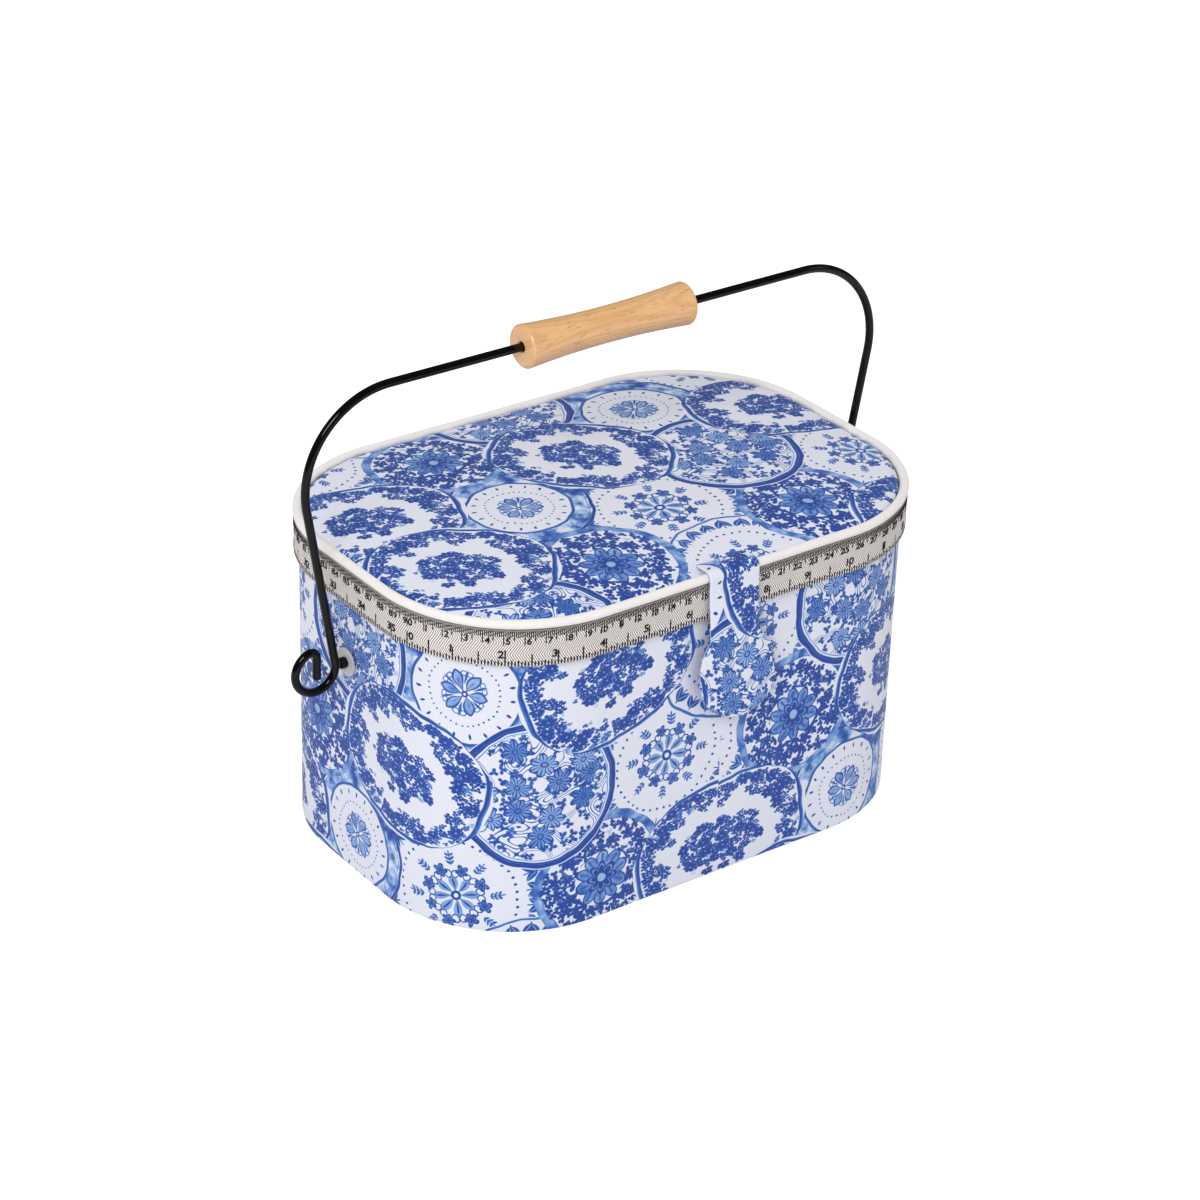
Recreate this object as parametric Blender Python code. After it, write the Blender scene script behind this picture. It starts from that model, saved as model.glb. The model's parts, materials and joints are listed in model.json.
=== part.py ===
"""Fabric covered sewing basket: oval card box, hinged lid with a tape trim, wire bail with a wooden grip.

Metres, +Z up. The origin is the middle of the underside, +X runs to the right along the front and -Y is the
front. Each piece is its own object, and each moving piece hangs under an empty on the axis that it turns on.
"""
import math

import bmesh
import bpy
from mathutils import Matrix, Vector

# Driving sizes of the box
body_width = 0.2994
body_depth = 0.2050
body_corner = 0.0738
lid_line_height = 0.1516
seat_gap = 0.0003
cover_thickness = 0.0006
wall_board_thickness = 0.0022
lining_thickness = 0.0008
insert_thickness = 0.0022
insert_top_drop = 0.0056
underside_thickness = 0.0008
underside_hem = 0.0012
base_board_thickness = 0.0025
floor_pad_thickness = 0.0025

# Lid
rim_clearance = 0.0010
rim_board_thickness = 0.0008
tape_thickness = 0.0005
tape_width = 0.0190
lid_board_thickness = 0.0025
lid_lining_thickness = 0.0010
piping_radius = 0.0025
piping_inset = 0.0020
pad_edge_height = 0.0012
pad_shoulder = 0.0026
pad_shoulder_width = 0.0040
pad_crown = 0.0036
pad_reach_share = 0.9
pad_inset_shares = (0, 0.004, 0.014, 0.03, 0.058, 0.12, 0.25, 0.45, 0.7, 1.0)
lid_open_angle = math.radians(105)

# Cloth hinge and the two stay ribbons
hinge_cloth_width = 0.1400
hinge_cloth_reach = 0.0130
hinge_axis_inset = 0.0013
ribbon_width = 0.0060
ribbon_thickness = 0.0005
ribbon_reach = 0.1050

# Closing tab with its magnet
strap_width = 0.0304
strap_thickness = 0.0016
strap_seat = 0.0060
tab_padding = 0.0012
tab_length = 0.0761
tab_neck_drop = 0.0240
lobe_width = 0.0480
lobe_height = 0.0560
lobe_power = 2.6
lobe_turn_shares = (0.08, 0.18, 0.3, 0.42, 0.54, 0.66, 0.78, 0.9, 1.0)
neck_shares = (0.2, 0.4, 0.6, 0.8, 1.0)
tab_across_shares = (-1, -0.75, -0.4, 0, 0.4, 0.75, 1)
magnet_radius = 0.0090
magnet_thickness = 0.0030
strike_radius = 0.0100
strike_thickness = 0.0016

# Sewing tray
tray_end = 0.0300
tray_end_corner = 0.0060
tray_depth = 0.0300
tray_wall = 0.0015
tray_side_gap = 0.0008
tray_flange_thickness = 0.0016
tray_divider_cross = -0.0500
tray_divider_spread = 0.0620

# Pincushion and pocket under the lid
pincushion_length = 0.1000
pincushion_width = 0.0600
pincushion_height = 0.0130
pincushion_front_gap = 0.0275
pincushion_girth_shares = (0.88, 0.99, 1.0, 0.94, 0.80, 0.52, 0.18)
pincushion_drop_shares = (0, 0.22, 0.42, 0.68, 0.86, 0.97, 1.0)
pocket_length = 0.2000
pocket_width = 0.0620
pocket_corner = 0.0140
pocket_back_gap = 0.0315
pocket_thickness = 0.0012
pocket_hem_width = 0.0070
pocket_hem_thickness = 0.0018

# Bail, its pivots and the grip
wire_radius = 0.0023
bail_reach = 0.1437
bail_bend_radius = 0.0475
bail_splay = math.radians(9.76)
bail_stand_off = 0.0079
pivot_back = 0.0040
pivot_drop = 0.0326
curl_radius = 0.0114
curl_end_turn = math.radians(71)
curl_end_radius = 0.0034
curl_tail = 0.0115
pin_radius = 0.0022
pin_collar_radius = 0.0029
washer_radius = 0.0073
washer_thickness = 0.0010
eyelet_wall = 0.0009
eyelet_flange_radius = 0.0055
eyelet_flange_thickness = 0.0005
nut_radius = 0.0065
nut_thickness = 0.0012
pin_tail = 0.0012
grip_length = 0.1000
grip_end_radius = 0.0112
grip_waist_radius = 0.0092
grip_edge_round = 0.0018
grip_bore_gap = 0.0004
grip_steps = 6

# Finish of the model's round shapes
corner_steps = 10
round_steps = 24
piping_sides = 10
wire_resolution = 3
cut_overrun = 0.0020

# Heights and faces that follow
half_width = body_width / 2
half_depth = body_depth / 2
base_board_bottom = underside_thickness + seat_gap
base_board_top = base_board_bottom + base_board_thickness
floor_level = base_board_top + seat_gap
board_inset = cover_thickness + seat_gap
lining_inset = board_inset + wall_board_thickness + seat_gap
insert_inset = lining_inset + lining_thickness + seat_gap
inside_inset = insert_inset + insert_thickness
insert_top = lid_line_height - insert_top_drop
rim_inset = -rim_clearance
rim_outer_inset = rim_inset - rim_board_thickness
tape_inset = rim_outer_inset - seat_gap
lid_outer_inset = tape_inset - tape_thickness
tape_top = lid_line_height + tape_width
lid_board_top = tape_top - seat_gap
lid_board_bottom = lid_board_top - lid_board_thickness
lid_lining_top = lid_board_bottom - seat_gap
lid_lining_bottom = lid_lining_top - lid_lining_thickness
hem_top = lid_lining_bottom - seat_gap
wall_top = hem_top - cover_thickness - seat_gap
piping_line_inset = lid_outer_inset + piping_inset
piping_height = lid_board_top + seat_gap + piping_radius
lid_cover_inset = piping_line_inset + piping_radius + seat_gap
pad_base = lid_board_top + seat_gap
pad_reach = pad_reach_share * (body_corner - lid_cover_inset)
pincushion_middle = pincushion_front_gap + pincushion_width / 2 - half_depth
pocket_middle = half_depth - pocket_back_gap - pocket_width / 2
hinge_back = half_depth - lid_outer_inset - hinge_axis_inset
hinge_cloth_thickness = rim_clearance - 2 * seat_gap
ribbon_inset = lining_inset + lining_thickness + seat_gap
piping_front = -half_depth + piping_line_inset
strap_front = piping_front - piping_radius - seat_gap
tab_axis_front = strap_front - strap_thickness
tab_axis_height = lid_board_bottom + 2 * seat_gap
lobe_middle = tab_axis_height - tab_length + lobe_height / 2
strike_front = -half_depth - seat_gap
magnet_front = strike_front - strike_thickness - seat_gap
tab_inner_front = magnet_front - magnet_thickness - seat_gap
pivot_height = lid_line_height - pivot_drop
bail_top = pivot_height + bail_reach
leg_foot = half_width + bail_stand_off
leg_rise = bail_reach - bail_bend_radius * (1 + math.sin(bail_splay))
bend_middle = leg_foot + leg_rise * math.tan(bail_splay) - bail_bend_radius * math.cos(bail_splay)


def clear_scene():
    """Removes whatever the file holds."""
    for thing in list(bpy.data.objects):
        bpy.data.objects.remove(thing, do_unlink=True)


def make_material(name, colour, roughness, metallic=0.0, alpha=1.0):
    """A plain finish for one kind of piece."""
    material = bpy.data.materials.new(name)
    material.use_nodes = True
    shader = material.node_tree.nodes["Principled BSDF"]
    shader.inputs["Base Color"].default_value = (*colour, 1.0)
    shader.inputs["Roughness"].default_value = roughness
    shader.inputs["Metallic"].default_value = metallic
    shader.inputs["Alpha"].default_value = alpha
    material.diffuse_color = (*colour, alpha)
    return material


def make_finishes():
    """The finishes, by the name of what they cover."""
    return {
        "printed_cloth": make_material("printed_cloth", (0.36, 0.48, 0.80), 0.62),
        "board": make_material("board", (0.62, 0.55, 0.44), 0.9),
        "lining_cloth": make_material("lining_cloth", (0.86, 0.88, 0.93), 0.8),
        "tape": make_material("tape", (0.78, 0.74, 0.68), 0.75),
        "piping_cloth": make_material("piping_cloth", (0.86, 0.85, 0.82), 0.7),
        "foam": make_material("foam", (0.90, 0.88, 0.80), 0.95),
        "cushion_cloth": make_material("cushion_cloth", (0.20, 0.32, 0.66), 0.8),
        "ribbon": make_material("ribbon", (0.90, 0.92, 0.96), 0.4),
        "clear_plastic": make_material("clear_plastic", (0.80, 0.80, 0.82), 0.35, alpha=0.6),
        "tray_plastic": make_material("tray_plastic", (0.90, 0.91, 0.93), 0.35),
        "steel": make_material("steel", (0.62, 0.62, 0.63), 0.3, 1.0),
        "brass": make_material("brass", (0.78, 0.62, 0.30), 0.3, 1.0),
        "black_wire": make_material("black_wire", (0.012, 0.012, 0.013), 0.22),
        "wood": make_material("wood", (0.76, 0.54, 0.30), 0.45),
    }


def make_axis(name, place, carrier=None):
    """An empty on a joint's axis. What it carries moves with it."""
    axis = bpy.data.objects.new(name, None)
    axis.empty_display_size = wire_radius
    bpy.context.collection.objects.link(axis)
    axis.location = place
    if carrier is not None:
        axis.parent = carrier
        axis.location = Vector(place) - world_place(carrier)
    return axis


def world_place(axis):
    """Where an axis stands, from its own place and those of its carriers."""
    place = axis.location.copy()
    while axis.parent is not None:
        axis = axis.parent
        place += axis.location
    return place


def add_object(name, data, finish, carrier=None):
    """Links the data as an object, with its origin on its carrier's axis."""
    data.materials.append(finish)
    thing = bpy.data.objects.new(name, data)
    bpy.context.collection.objects.link(thing)
    if carrier is not None:
        data.transform(Matrix.Translation(-world_place(carrier)))
        thing.parent = carrier
    return thing


def add_mesh(name, points, faces, finish, carrier=None, smooth_angle=math.radians(35)):
    """A mesh object from points and faces, shaded smooth except at its edges."""
    mesh = bpy.data.meshes.new(name)
    mesh.from_pydata(points, [], faces)
    shape = bmesh.new()
    shape.from_mesh(mesh)
    bmesh.ops.recalc_face_normals(shape, faces=shape.faces)
    shape.to_mesh(mesh)
    shape.free()
    mesh.shade_smooth()
    mesh.set_sharp_from_angle(angle=smooth_angle)
    return add_object(name, mesh, finish, carrier)


def arc_points(middle, radius, start, sweep, steps):
    """Points along an arc, both ends included."""
    turns = [start + sweep * step / steps for step in range(steps + 1)]
    return [(middle[0] + radius * math.cos(turn), middle[1] + radius * math.sin(turn)) for turn in turns]


def box_outline(inset):
    """The basket's rounded outline, drawn in by an inset from the covered wall, anticlockwise."""
    radius = body_corner - inset
    reach_x = half_width - body_corner
    reach_y = half_depth - body_corner
    outline = []
    for quarter, (side_x, side_y) in enumerate(((1, 1), (-1, 1), (-1, -1), (1, -1))):
        middle = (side_x * reach_x, side_y * reach_y)
        outline += arc_points(middle, radius, quarter * math.pi / 2, math.pi / 2, corner_steps)
    return outline


def circle_outline(radius_x, radius_y, middle=(0, 0)):
    """An ellipse's outline, anticlockwise."""
    turns = [2 * math.pi * step / round_steps for step in range(round_steps)]
    return [(middle[0] + radius_x * math.cos(turn), middle[1] + radius_y * math.sin(turn)) for turn in turns]


def rings_solid(name, rings, finish, carrier=None, closed_loop=False):
    """Joins rings of points, all of one count, into a closed solid, capped at both ends unless it loops."""
    count = len(rings[0])
    points = [point for ring in rings for point in ring]
    faces = []
    last = len(rings) if closed_loop else len(rings) - 1
    for row in range(last):
        near = row * count
        far = ((row + 1) % len(rings)) * count
        for step in range(count):
            after = (step + 1) % count
            faces.append((near + step, near + after, far + after, far + step))
    if not closed_loop:
        faces.append(tuple(reversed(range(count))))
        faces.append(tuple(range(last * count, last * count + count)))
    return add_mesh(name, points, faces, finish, carrier)


def at_height(outline, height):
    """The outline's points at one height."""
    return [(x, y, height) for x, y in outline]


def slab(name, outline, bottom, top, finish, carrier=None):
    """A flat plate of the outline."""
    return rings_solid(name, [at_height(outline, bottom), at_height(outline, top)], finish, carrier)


def wall_ring(name, section, finish, carrier=None):
    """A closed band round the basket, from a section of (inset, height) corners."""
    rings = [at_height(box_outline(inset), height) for inset, height in section]
    return rings_solid(name, rings, finish, carrier, closed_loop=True)


def turned(name, profile, axis_place, direction, finish, carrier=None, steps=round_steps, bored=False):
    """A turned piece: (distance along, radius) corners spun round an axis along X or Y."""
    rings = []
    for along, radius in profile:
        ring = []
        for step in range(steps):
            turn = 2 * math.pi * step / steps
            across, up = radius * math.cos(turn), radius * math.sin(turn)
            offset = Vector((along, across, up)) if direction == "X" else Vector((across, along, up))
            ring.append(tuple(Vector(axis_place) + offset))
        rings.append(ring)
    return rings_solid(name, rings, finish, carrier, closed_loop=bored)


def cut(thing, cutter, operation="DIFFERENCE"):
    """Cuts the thing with a hidden cutter, or joins a hidden shape to it."""
    cutter.hide_render = True
    cutter.display_type = "WIRE"
    modifier = thing.modifiers.new(cutter.name, "BOOLEAN")
    modifier.operation = operation
    modifier.solver = "EXACT"
    modifier.object = cutter


def pivot_cutter(name, radius, finish):
    """A round bar across the basket, which bores both side walls for the pivots."""
    reach = half_width + cut_overrun
    profile = ((-reach, radius), (reach, radius))
    return turned(name, profile, (0, pivot_back, pivot_height), "X", finish)


def build_box(finish):
    """The card box with its printed cover, its lining and what stands on its floor."""
    underside = box_outline(board_inset + underside_hem)
    slab("underside_cloth", underside, 0, underside_thickness, finish["lining_cloth"])
    slab("base_board", box_outline(lining_inset), base_board_bottom, base_board_top, finish["board"])
    board = wall_ring("wall_board", (
        (board_inset, base_board_bottom),
        (board_inset, wall_top),
        (board_inset + wall_board_thickness, wall_top),
        (board_inset + wall_board_thickness, base_board_bottom),
    ), finish["board"])
    hem_inset = board_inset + wall_board_thickness
    cover = wall_ring("outer_cover", (
        (0, seat_gap),
        (0, hem_top),
        (hem_inset, hem_top),
        (hem_inset, hem_top - cover_thickness),
        (cover_thickness, hem_top - cover_thickness),
        (cover_thickness, seat_gap),
    ), finish["printed_cloth"])
    lining = wall_ring("wall_lining", (
        (lining_inset, floor_level),
        (lining_inset, wall_top),
        (lining_inset + lining_thickness, wall_top),
        (lining_inset + lining_thickness, floor_level),
    ), finish["lining_cloth"])
    insert = wall_ring("tray_ledge", (
        (insert_inset, floor_level),
        (insert_inset, insert_top),
        (inside_inset, insert_top),
        (inside_inset, floor_level),
    ), finish["lining_cloth"])
    slab("floor_pad", box_outline(inside_inset + seat_gap), floor_level, floor_level + floor_pad_thickness,
         finish["lining_cloth"])
    eyelet_outer = pin_radius + seat_gap + eyelet_wall
    eyelet_bore = pivot_cutter("eyelet_bore", eyelet_outer + seat_gap, finish["board"])
    nut_bore = pivot_cutter("nut_bore", nut_radius + 2 * seat_gap, finish["board"])
    for wall in (board, cover):
        cut(wall, eyelet_bore)
    for wall in (lining, insert):
        cut(wall, nut_bore)


def tray_top():
    """The height of the tray's flange."""
    return insert_top + seat_gap + tray_flange_thickness


def tray_outline(inset):
    """The tray's outline: the basket's left end, closed by a straight side with small corners."""
    radius = body_corner - inset
    left = half_width - body_corner
    depth = half_depth - body_corner
    end = tray_end + inside_inset + tray_side_gap - inset
    outline = arc_points((-left, depth), radius, math.pi / 2, math.pi / 2, corner_steps)
    outline += arc_points((-left, -depth), radius, math.pi, math.pi / 2, corner_steps)
    corner_x = end - tray_end_corner
    corner_y = half_depth - inset - tray_end_corner
    end_steps = corner_steps // 2
    outline += arc_points((corner_x, -corner_y), tray_end_corner, -math.pi / 2, math.pi / 2, end_steps)
    outline += arc_points((corner_x, corner_y), tray_end_corner, 0, math.pi / 2, end_steps)
    return outline


def build_tray(finish):
    """A moulded tray with five compartments, which hangs by its flange on the ledge."""
    plastic = finish["tray_plastic"]
    body_inset = inside_inset + tray_side_gap
    flange_inset = insert_inset + seat_gap
    top = tray_top()
    bottom = top - tray_depth
    flange_bottom = top - tray_flange_thickness
    tray = rings_solid("sewing_tray", [
        at_height(tray_outline(body_inset), bottom),
        at_height(tray_outline(body_inset), flange_bottom),
        at_height(tray_outline(flange_inset), flange_bottom),
        at_height(tray_outline(flange_inset), top),
    ], plastic)
    hollow_inset = body_inset + tray_wall
    wall_y = half_depth - hollow_inset
    left = -half_width
    right = tray_end + half_width
    half_wall = tray_wall / 2
    cross = tray_divider_cross
    spread = tray_divider_spread / 2
    rooms = {
        "left_front_room": ((left, -wall_y), (cross - half_wall, -half_wall)),
        "left_back_room": ((left, half_wall), (cross - half_wall, wall_y)),
        "right_front_room": ((cross + half_wall, -wall_y), (right, -spread - half_wall)),
        "right_middle_room": ((cross + half_wall, -spread + half_wall), (right, spread - half_wall)),
        "right_back_room": ((cross + half_wall, spread + half_wall), (right, wall_y)),
    }
    for name, (low, high) in rooms.items():
        outline = clip_outline(tray_outline(hollow_inset), low, high)
        cut(tray, slab(name, outline, bottom + tray_wall, top + cut_overrun, plastic))


def clip_outline(outline, low, high):
    """The part of a convex outline that lies between two corners of a box in plan."""
    for across, limit, keep in ((0, low[0], 1), (0, high[0], -1), (1, low[1], 1), (1, high[1], -1)):
        kept = []
        for point, after in zip(outline, outline[1:] + outline[:1]):
            here, there = keep * (point[across] - limit), keep * (after[across] - limit)
            if here >= 0:
                kept.append(point)
            if here * there < 0:
                share = here / (here - there)
                kept.append(tuple(a + share * (b - a) for a, b in zip(point, after)))
        outline = kept
    return outline


def dome_height(inset):
    """How high the padded top stands over its base at an inset from its edge: soft shoulder, then crown."""
    into_shoulder = 1 - min(inset / pad_shoulder_width, 1)
    shoulder = pad_shoulder * math.sqrt(1 - into_shoulder * into_shoulder)
    crown = pad_crown * math.sin(math.pi / 2 * inset / pad_reach)
    return pad_edge_height + shoulder + crown


def dome_rings(skin):
    """The padded top's rings, from its edge to its middle, drawn in and down by a skin's thickness."""
    rings = []
    for share in pad_inset_shares:
        inset = share * pad_reach
        height = pad_base + dome_height(inset) - skin
        rings.append(at_height(box_outline(lid_cover_inset + inset + skin), height))
    return rings


def build_lid_top(finish, carrier):
    """The lid's board, its foam and the printed cover over it."""
    slab("lid_board", box_outline(rim_inset + seat_gap), lid_board_bottom, lid_board_top, finish["board"],
         carrier)
    pad_skin = cover_thickness + seat_gap
    pad_edge = at_height(box_outline(lid_cover_inset + pad_skin), pad_base)
    rings_solid("lid_pad", [pad_edge] + dome_rings(pad_skin), finish["foam"], carrier)
    outer = [at_height(box_outline(lid_cover_inset), pad_base)] + dome_rings(0)
    inner_edge = at_height(box_outline(lid_cover_inset + cover_thickness), pad_base)
    inner = [inner_edge] + dome_rings(cover_thickness)
    count = len(outer[0])
    rings = outer[::-1] + inner
    points = [point for ring in rings for point in ring]
    faces = [tuple(range(count)), tuple(reversed(range(len(points) - count, len(points))))]
    for row in range(len(rings) - 1):
        near, far = row * count, (row + 1) * count
        for step in range(count):
            after = (step + 1) % count
            faces.append((near + step, near + after, far + after, far + step))
    add_mesh("lid_cover", points, faces, finish["printed_cloth"], carrier)


def build_lid_rim(finish, carrier):
    """The lid's card band with the measuring tape round it and the piping on its edge."""
    wall_ring("lid_rim", (
        (rim_outer_inset, lid_line_height),
        (rim_outer_inset, lid_board_top),
        (rim_inset, lid_board_top),
        (rim_inset, lid_line_height),
    ), finish["board"], carrier)
    wall_ring("rim_tape", (
        (lid_outer_inset, lid_line_height),
        (lid_outer_inset, tape_top),
        (tape_inset, tape_top),
        (tape_inset, lid_line_height),
    ), finish["tape"], carrier)
    section = [(piping_line_inset - across, piping_height + up)
               for across, up in arc_points((0, 0), piping_radius, 0, 2 * math.pi, piping_sides)[:-1]]
    wall_ring("lid_piping", section, finish["piping_cloth"], carrier)


def build_lid_inside(finish, carrier):
    """The lining under the lid, with its pincushion and its pocket."""
    slab("lid_lining", box_outline(rim_inset + seat_gap), lid_lining_bottom, lid_lining_top,
         finish["lining_cloth"], carrier)
    seat = lid_lining_bottom - seat_gap
    middle = (0, pincushion_middle)
    rings = []
    for girth, drop in zip(pincushion_girth_shares, pincushion_drop_shares):
        outline = circle_outline(girth * pincushion_length / 2, girth * pincushion_width / 2, middle)
        rings.append(at_height(outline, seat - drop * pincushion_height))
    rings_solid("pincushion", rings, finish["cushion_cloth"], carrier)
    reach_x = pocket_length / 2 - pocket_corner
    back = pocket_middle + pocket_width / 2
    front = pocket_middle - pocket_width / 2
    hem_back = front + pocket_hem_width
    outline = arc_points((reach_x, back - pocket_corner), pocket_corner, 0, math.pi / 2, corner_steps // 2)
    outline += arc_points((-reach_x, back - pocket_corner), pocket_corner, math.pi / 2, math.pi / 2,
                          corner_steps // 2)
    outline += [(-pocket_length / 2, hem_back + seat_gap), (pocket_length / 2, hem_back + seat_gap)]
    slab("lid_pocket", outline, seat - pocket_thickness, seat, finish["printed_cloth"], carrier)
    half = pocket_length / 2
    hem = [(-half, front), (half, front), (half, hem_back), (-half, hem_back)]
    slab("pocket_elastic", hem, seat - pocket_hem_thickness, seat, finish["ribbon"], carrier)


def build_hinge(finish, carrier):
    """The cloth hinge, flat between the back wall and the lid's band: one half on each."""
    half = hinge_cloth_width / 2
    near = half_depth + seat_gap
    far = near + hinge_cloth_thickness
    outline = [(-half, near), (half, near), (half, far), (-half, far)]
    slab("hinge_cloth_lower", outline, lid_line_height - hinge_cloth_reach, lid_line_height - seat_gap,
         finish["lining_cloth"])
    slab("hinge_cloth_upper", outline, lid_line_height + seat_gap, lid_line_height + hinge_cloth_reach,
         finish["lining_cloth"], carrier)


def side_reach(inset, back):
    """How far the basket's outline reaches sideways at a place front to back."""
    radius = body_corner - inset
    into_corner = max(back - (half_depth - body_corner), 0)
    return half_width - body_corner + math.sqrt(radius * radius - into_corner * into_corner)


def build_ribbons(finish):
    """A stay ribbon at each end, along the lining, folded once towards the hinge while the lid is shut."""
    tie_back = hinge_back - ribbon_reach
    fold_back = hinge_back - ribbon_reach * math.cos(lid_open_angle / 2)
    low = tray_top() + 2 * seat_gap
    high = lid_lining_bottom - seat_gap
    middle = (low + high) / 2
    half = ribbon_width / 2
    fork_share = (middle - low - ribbon_width) / (middle - low - half)
    outline = [
        (tie_back, low),
        (fold_back, middle - half),
        (fold_back, middle + half),
        (tie_back, high),
        (tie_back, high - ribbon_width),
        (tie_back + fork_share * (fold_back - tie_back), middle),
        (tie_back, low + ribbon_width),
    ]
    outer = side_reach(ribbon_inset, fold_back)
    for name, sign in (("stay_ribbon_left", -1), ("stay_ribbon_right", 1)):
        rings = [[(sign * x, y, z) for y, z in outline] for x in (outer, outer - ribbon_thickness)]
        rings_solid(name, rings, finish["ribbon"])


def smooth_step(share):
    """Eases a share between 0 and 1."""
    held = min(max(share, 0), 1)
    return held * held * (3 - 2 * held)


def tab_half_width(height):
    """Half the tab's width at a height: a straight strap that swells into a rounded lobe."""
    away = min(abs(height - lobe_middle) / (lobe_height / 2), 1)
    lobe = lobe_width / 2 * (1 - away ** lobe_power) ** (1 / lobe_power)
    if height < lobe_middle:
        return lobe
    return max(lobe, strap_width / 2)


def build_strap(finish, carrier):
    """The strap that is sewn to the lid's top and turns down over the piping."""
    corner = piping_radius + seat_gap
    behind = piping_front + piping_radius + strap_seat
    behind_height = pad_base + dome_height(behind - piping_front - piping_radius - seat_gap) + seat_gap
    foot = tab_axis_height + seat_gap
    section = [(behind, behind_height)]
    section += arc_points((piping_front, piping_height), corner, math.pi / 2, math.pi / 2, corner_steps // 2)
    section += [(strap_front, foot), (strap_front - strap_thickness, foot)]
    section += arc_points((piping_front, piping_height), corner + strap_thickness, math.pi, -math.pi / 2,
                          corner_steps // 2)
    section += [(behind, behind_height + strap_thickness)]
    rings = [[(x, y, z) for y, z in section] for x in (-strap_width / 2, strap_width / 2)]
    rings_solid("tab_strap", rings, finish["printed_cloth"], carrier)


def build_tab(finish, carrier):
    """The padded tab that hangs from the strap, its magnet, and the magnet's strike on the front wall."""
    top = tab_axis_height - seat_gap
    neck = top - tab_neck_drop
    last_turn = math.pi - math.asin(strap_width / lobe_width)
    heights = [lobe_middle - lobe_height / 2 * math.cos(share * last_turn) for share in lobe_turn_shares]
    lobe_top = heights[-1]
    heights += [lobe_top + (top - lobe_top) * share for share in neck_shares]
    rings = []
    for height in heights:
        lean = smooth_step((height - neck) / (top - neck))
        inner = tab_inner_front + lean * (strap_front - tab_inner_front)
        outer = inner - strap_thickness
        padding = tab_padding * (1 - lean)
        width = tab_half_width(height)
        ring = [(share * width, inner, height) for share in tab_across_shares]
        ring += [(share * width, outer - padding * (1 - share ** 4), height)
                 for share in tab_across_shares[::-1]]
        rings.append(ring)
    rings_solid("closure_tab", rings, finish["printed_cloth"], carrier)
    seat = (0, 0, lobe_middle)
    magnet = ((magnet_front - magnet_thickness, magnet_radius), (magnet_front, magnet_radius))
    turned("tab_magnet", magnet, seat, "Y", finish["steel"], carrier)
    strike = ((strike_front - strike_thickness, strike_radius), (strike_front, strike_radius))
    turned("strike_plate", strike, seat, "Y", finish["steel"])


def bail_half_path():
    """The bail's right half in its own plane, from the middle of the bar to the end inside the curl."""
    path = [(0, bail_top)]
    path += arc_points((bend_middle, bail_top - bail_bend_radius), bail_bend_radius, math.pi / 2,
                       -math.pi / 2 - bail_splay, corner_steps)
    curl_middle = (leg_foot + curl_radius, pivot_height)
    foot_turn = math.pi - bail_splay
    path += arc_points(curl_middle, curl_radius, foot_turn, math.pi + bail_splay + curl_end_turn,
                       2 * corner_steps)
    end_reach = curl_radius - curl_end_radius
    end_middle = (curl_middle[0] + end_reach * math.cos(curl_end_turn),
                  curl_middle[1] + end_reach * math.sin(curl_end_turn))
    path += arc_points(end_middle, curl_end_radius, curl_end_turn, math.pi - curl_end_turn,
                       corner_steps // 2)[1:]
    path.append((path[-1][0], path[-1][1] - curl_tail))
    return path


def wire(name, path, finish, carrier):
    """A round wire along a path of points, with closed ends."""
    curve = bpy.data.curves.new(name, "CURVE")
    curve.dimensions = "3D"
    curve.bevel_depth = wire_radius
    curve.bevel_resolution = wire_resolution
    curve.use_fill_caps = True
    spline = curve.splines.new("POLY")
    spline.points.add(len(path) - 1)
    for point, place in zip(spline.points, path):
        point.co = (*place, 1)
    return add_object(name, curve, finish, carrier)


def build_pivots(finish, bail_axis):
    """At each side an eyelet in the wall, the pin on the bail's foot, and the washer and nut on the pin."""
    bore = pin_radius + seat_gap
    flange_back = half_width + seat_gap
    flange_face = flange_back + eyelet_flange_thickness
    washer_back = flange_face + seat_gap
    washer_face = washer_back + washer_thickness
    collar_back = washer_face + seat_gap
    pin_end = leg_foot - wire_radius - seat_gap
    eyelet_back = half_width - board_inset - wall_board_thickness
    nut_face = eyelet_back - seat_gap
    nut_back = nut_face - nut_thickness
    sections = {
        "wall_eyelet": ((eyelet_back, bore), (flange_face, bore), (flange_face, eyelet_flange_radius),
                        (flange_back, eyelet_flange_radius), (flange_back, bore + eyelet_wall),
                        (eyelet_back, bore + eyelet_wall)),
        "pivot_washer": ((washer_back, bore), (washer_face, bore), (washer_face, washer_radius),
                         (washer_back, washer_radius)),
        "pivot_nut": ((nut_back, bore), (nut_face, bore), (nut_face, nut_radius), (nut_back, nut_radius)),
        "pivot_pin": ((nut_back - pin_tail, pin_radius), (collar_back, pin_radius),
                      (collar_back, pin_collar_radius), (pin_end, pin_collar_radius)),
    }
    carriers = {
        "wall_eyelet": (finish["brass"], None),
        "pivot_washer": (finish["clear_plastic"], None),
        "pivot_nut": (finish["steel"], None),
        "pivot_pin": (finish["black_wire"], bail_axis),
    }
    place = (0, pivot_back, pivot_height)
    for piece, section in sections.items():
        piece_finish, carrier = carriers[piece]
        for side, sign in (("left", -1), ("right", 1)):
            mirrored = [(sign * along, radius) for along, radius in section]
            turned(f"{piece}_{side}", mirrored, place, "X", piece_finish, carrier, bored=piece != "pivot_pin")


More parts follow.
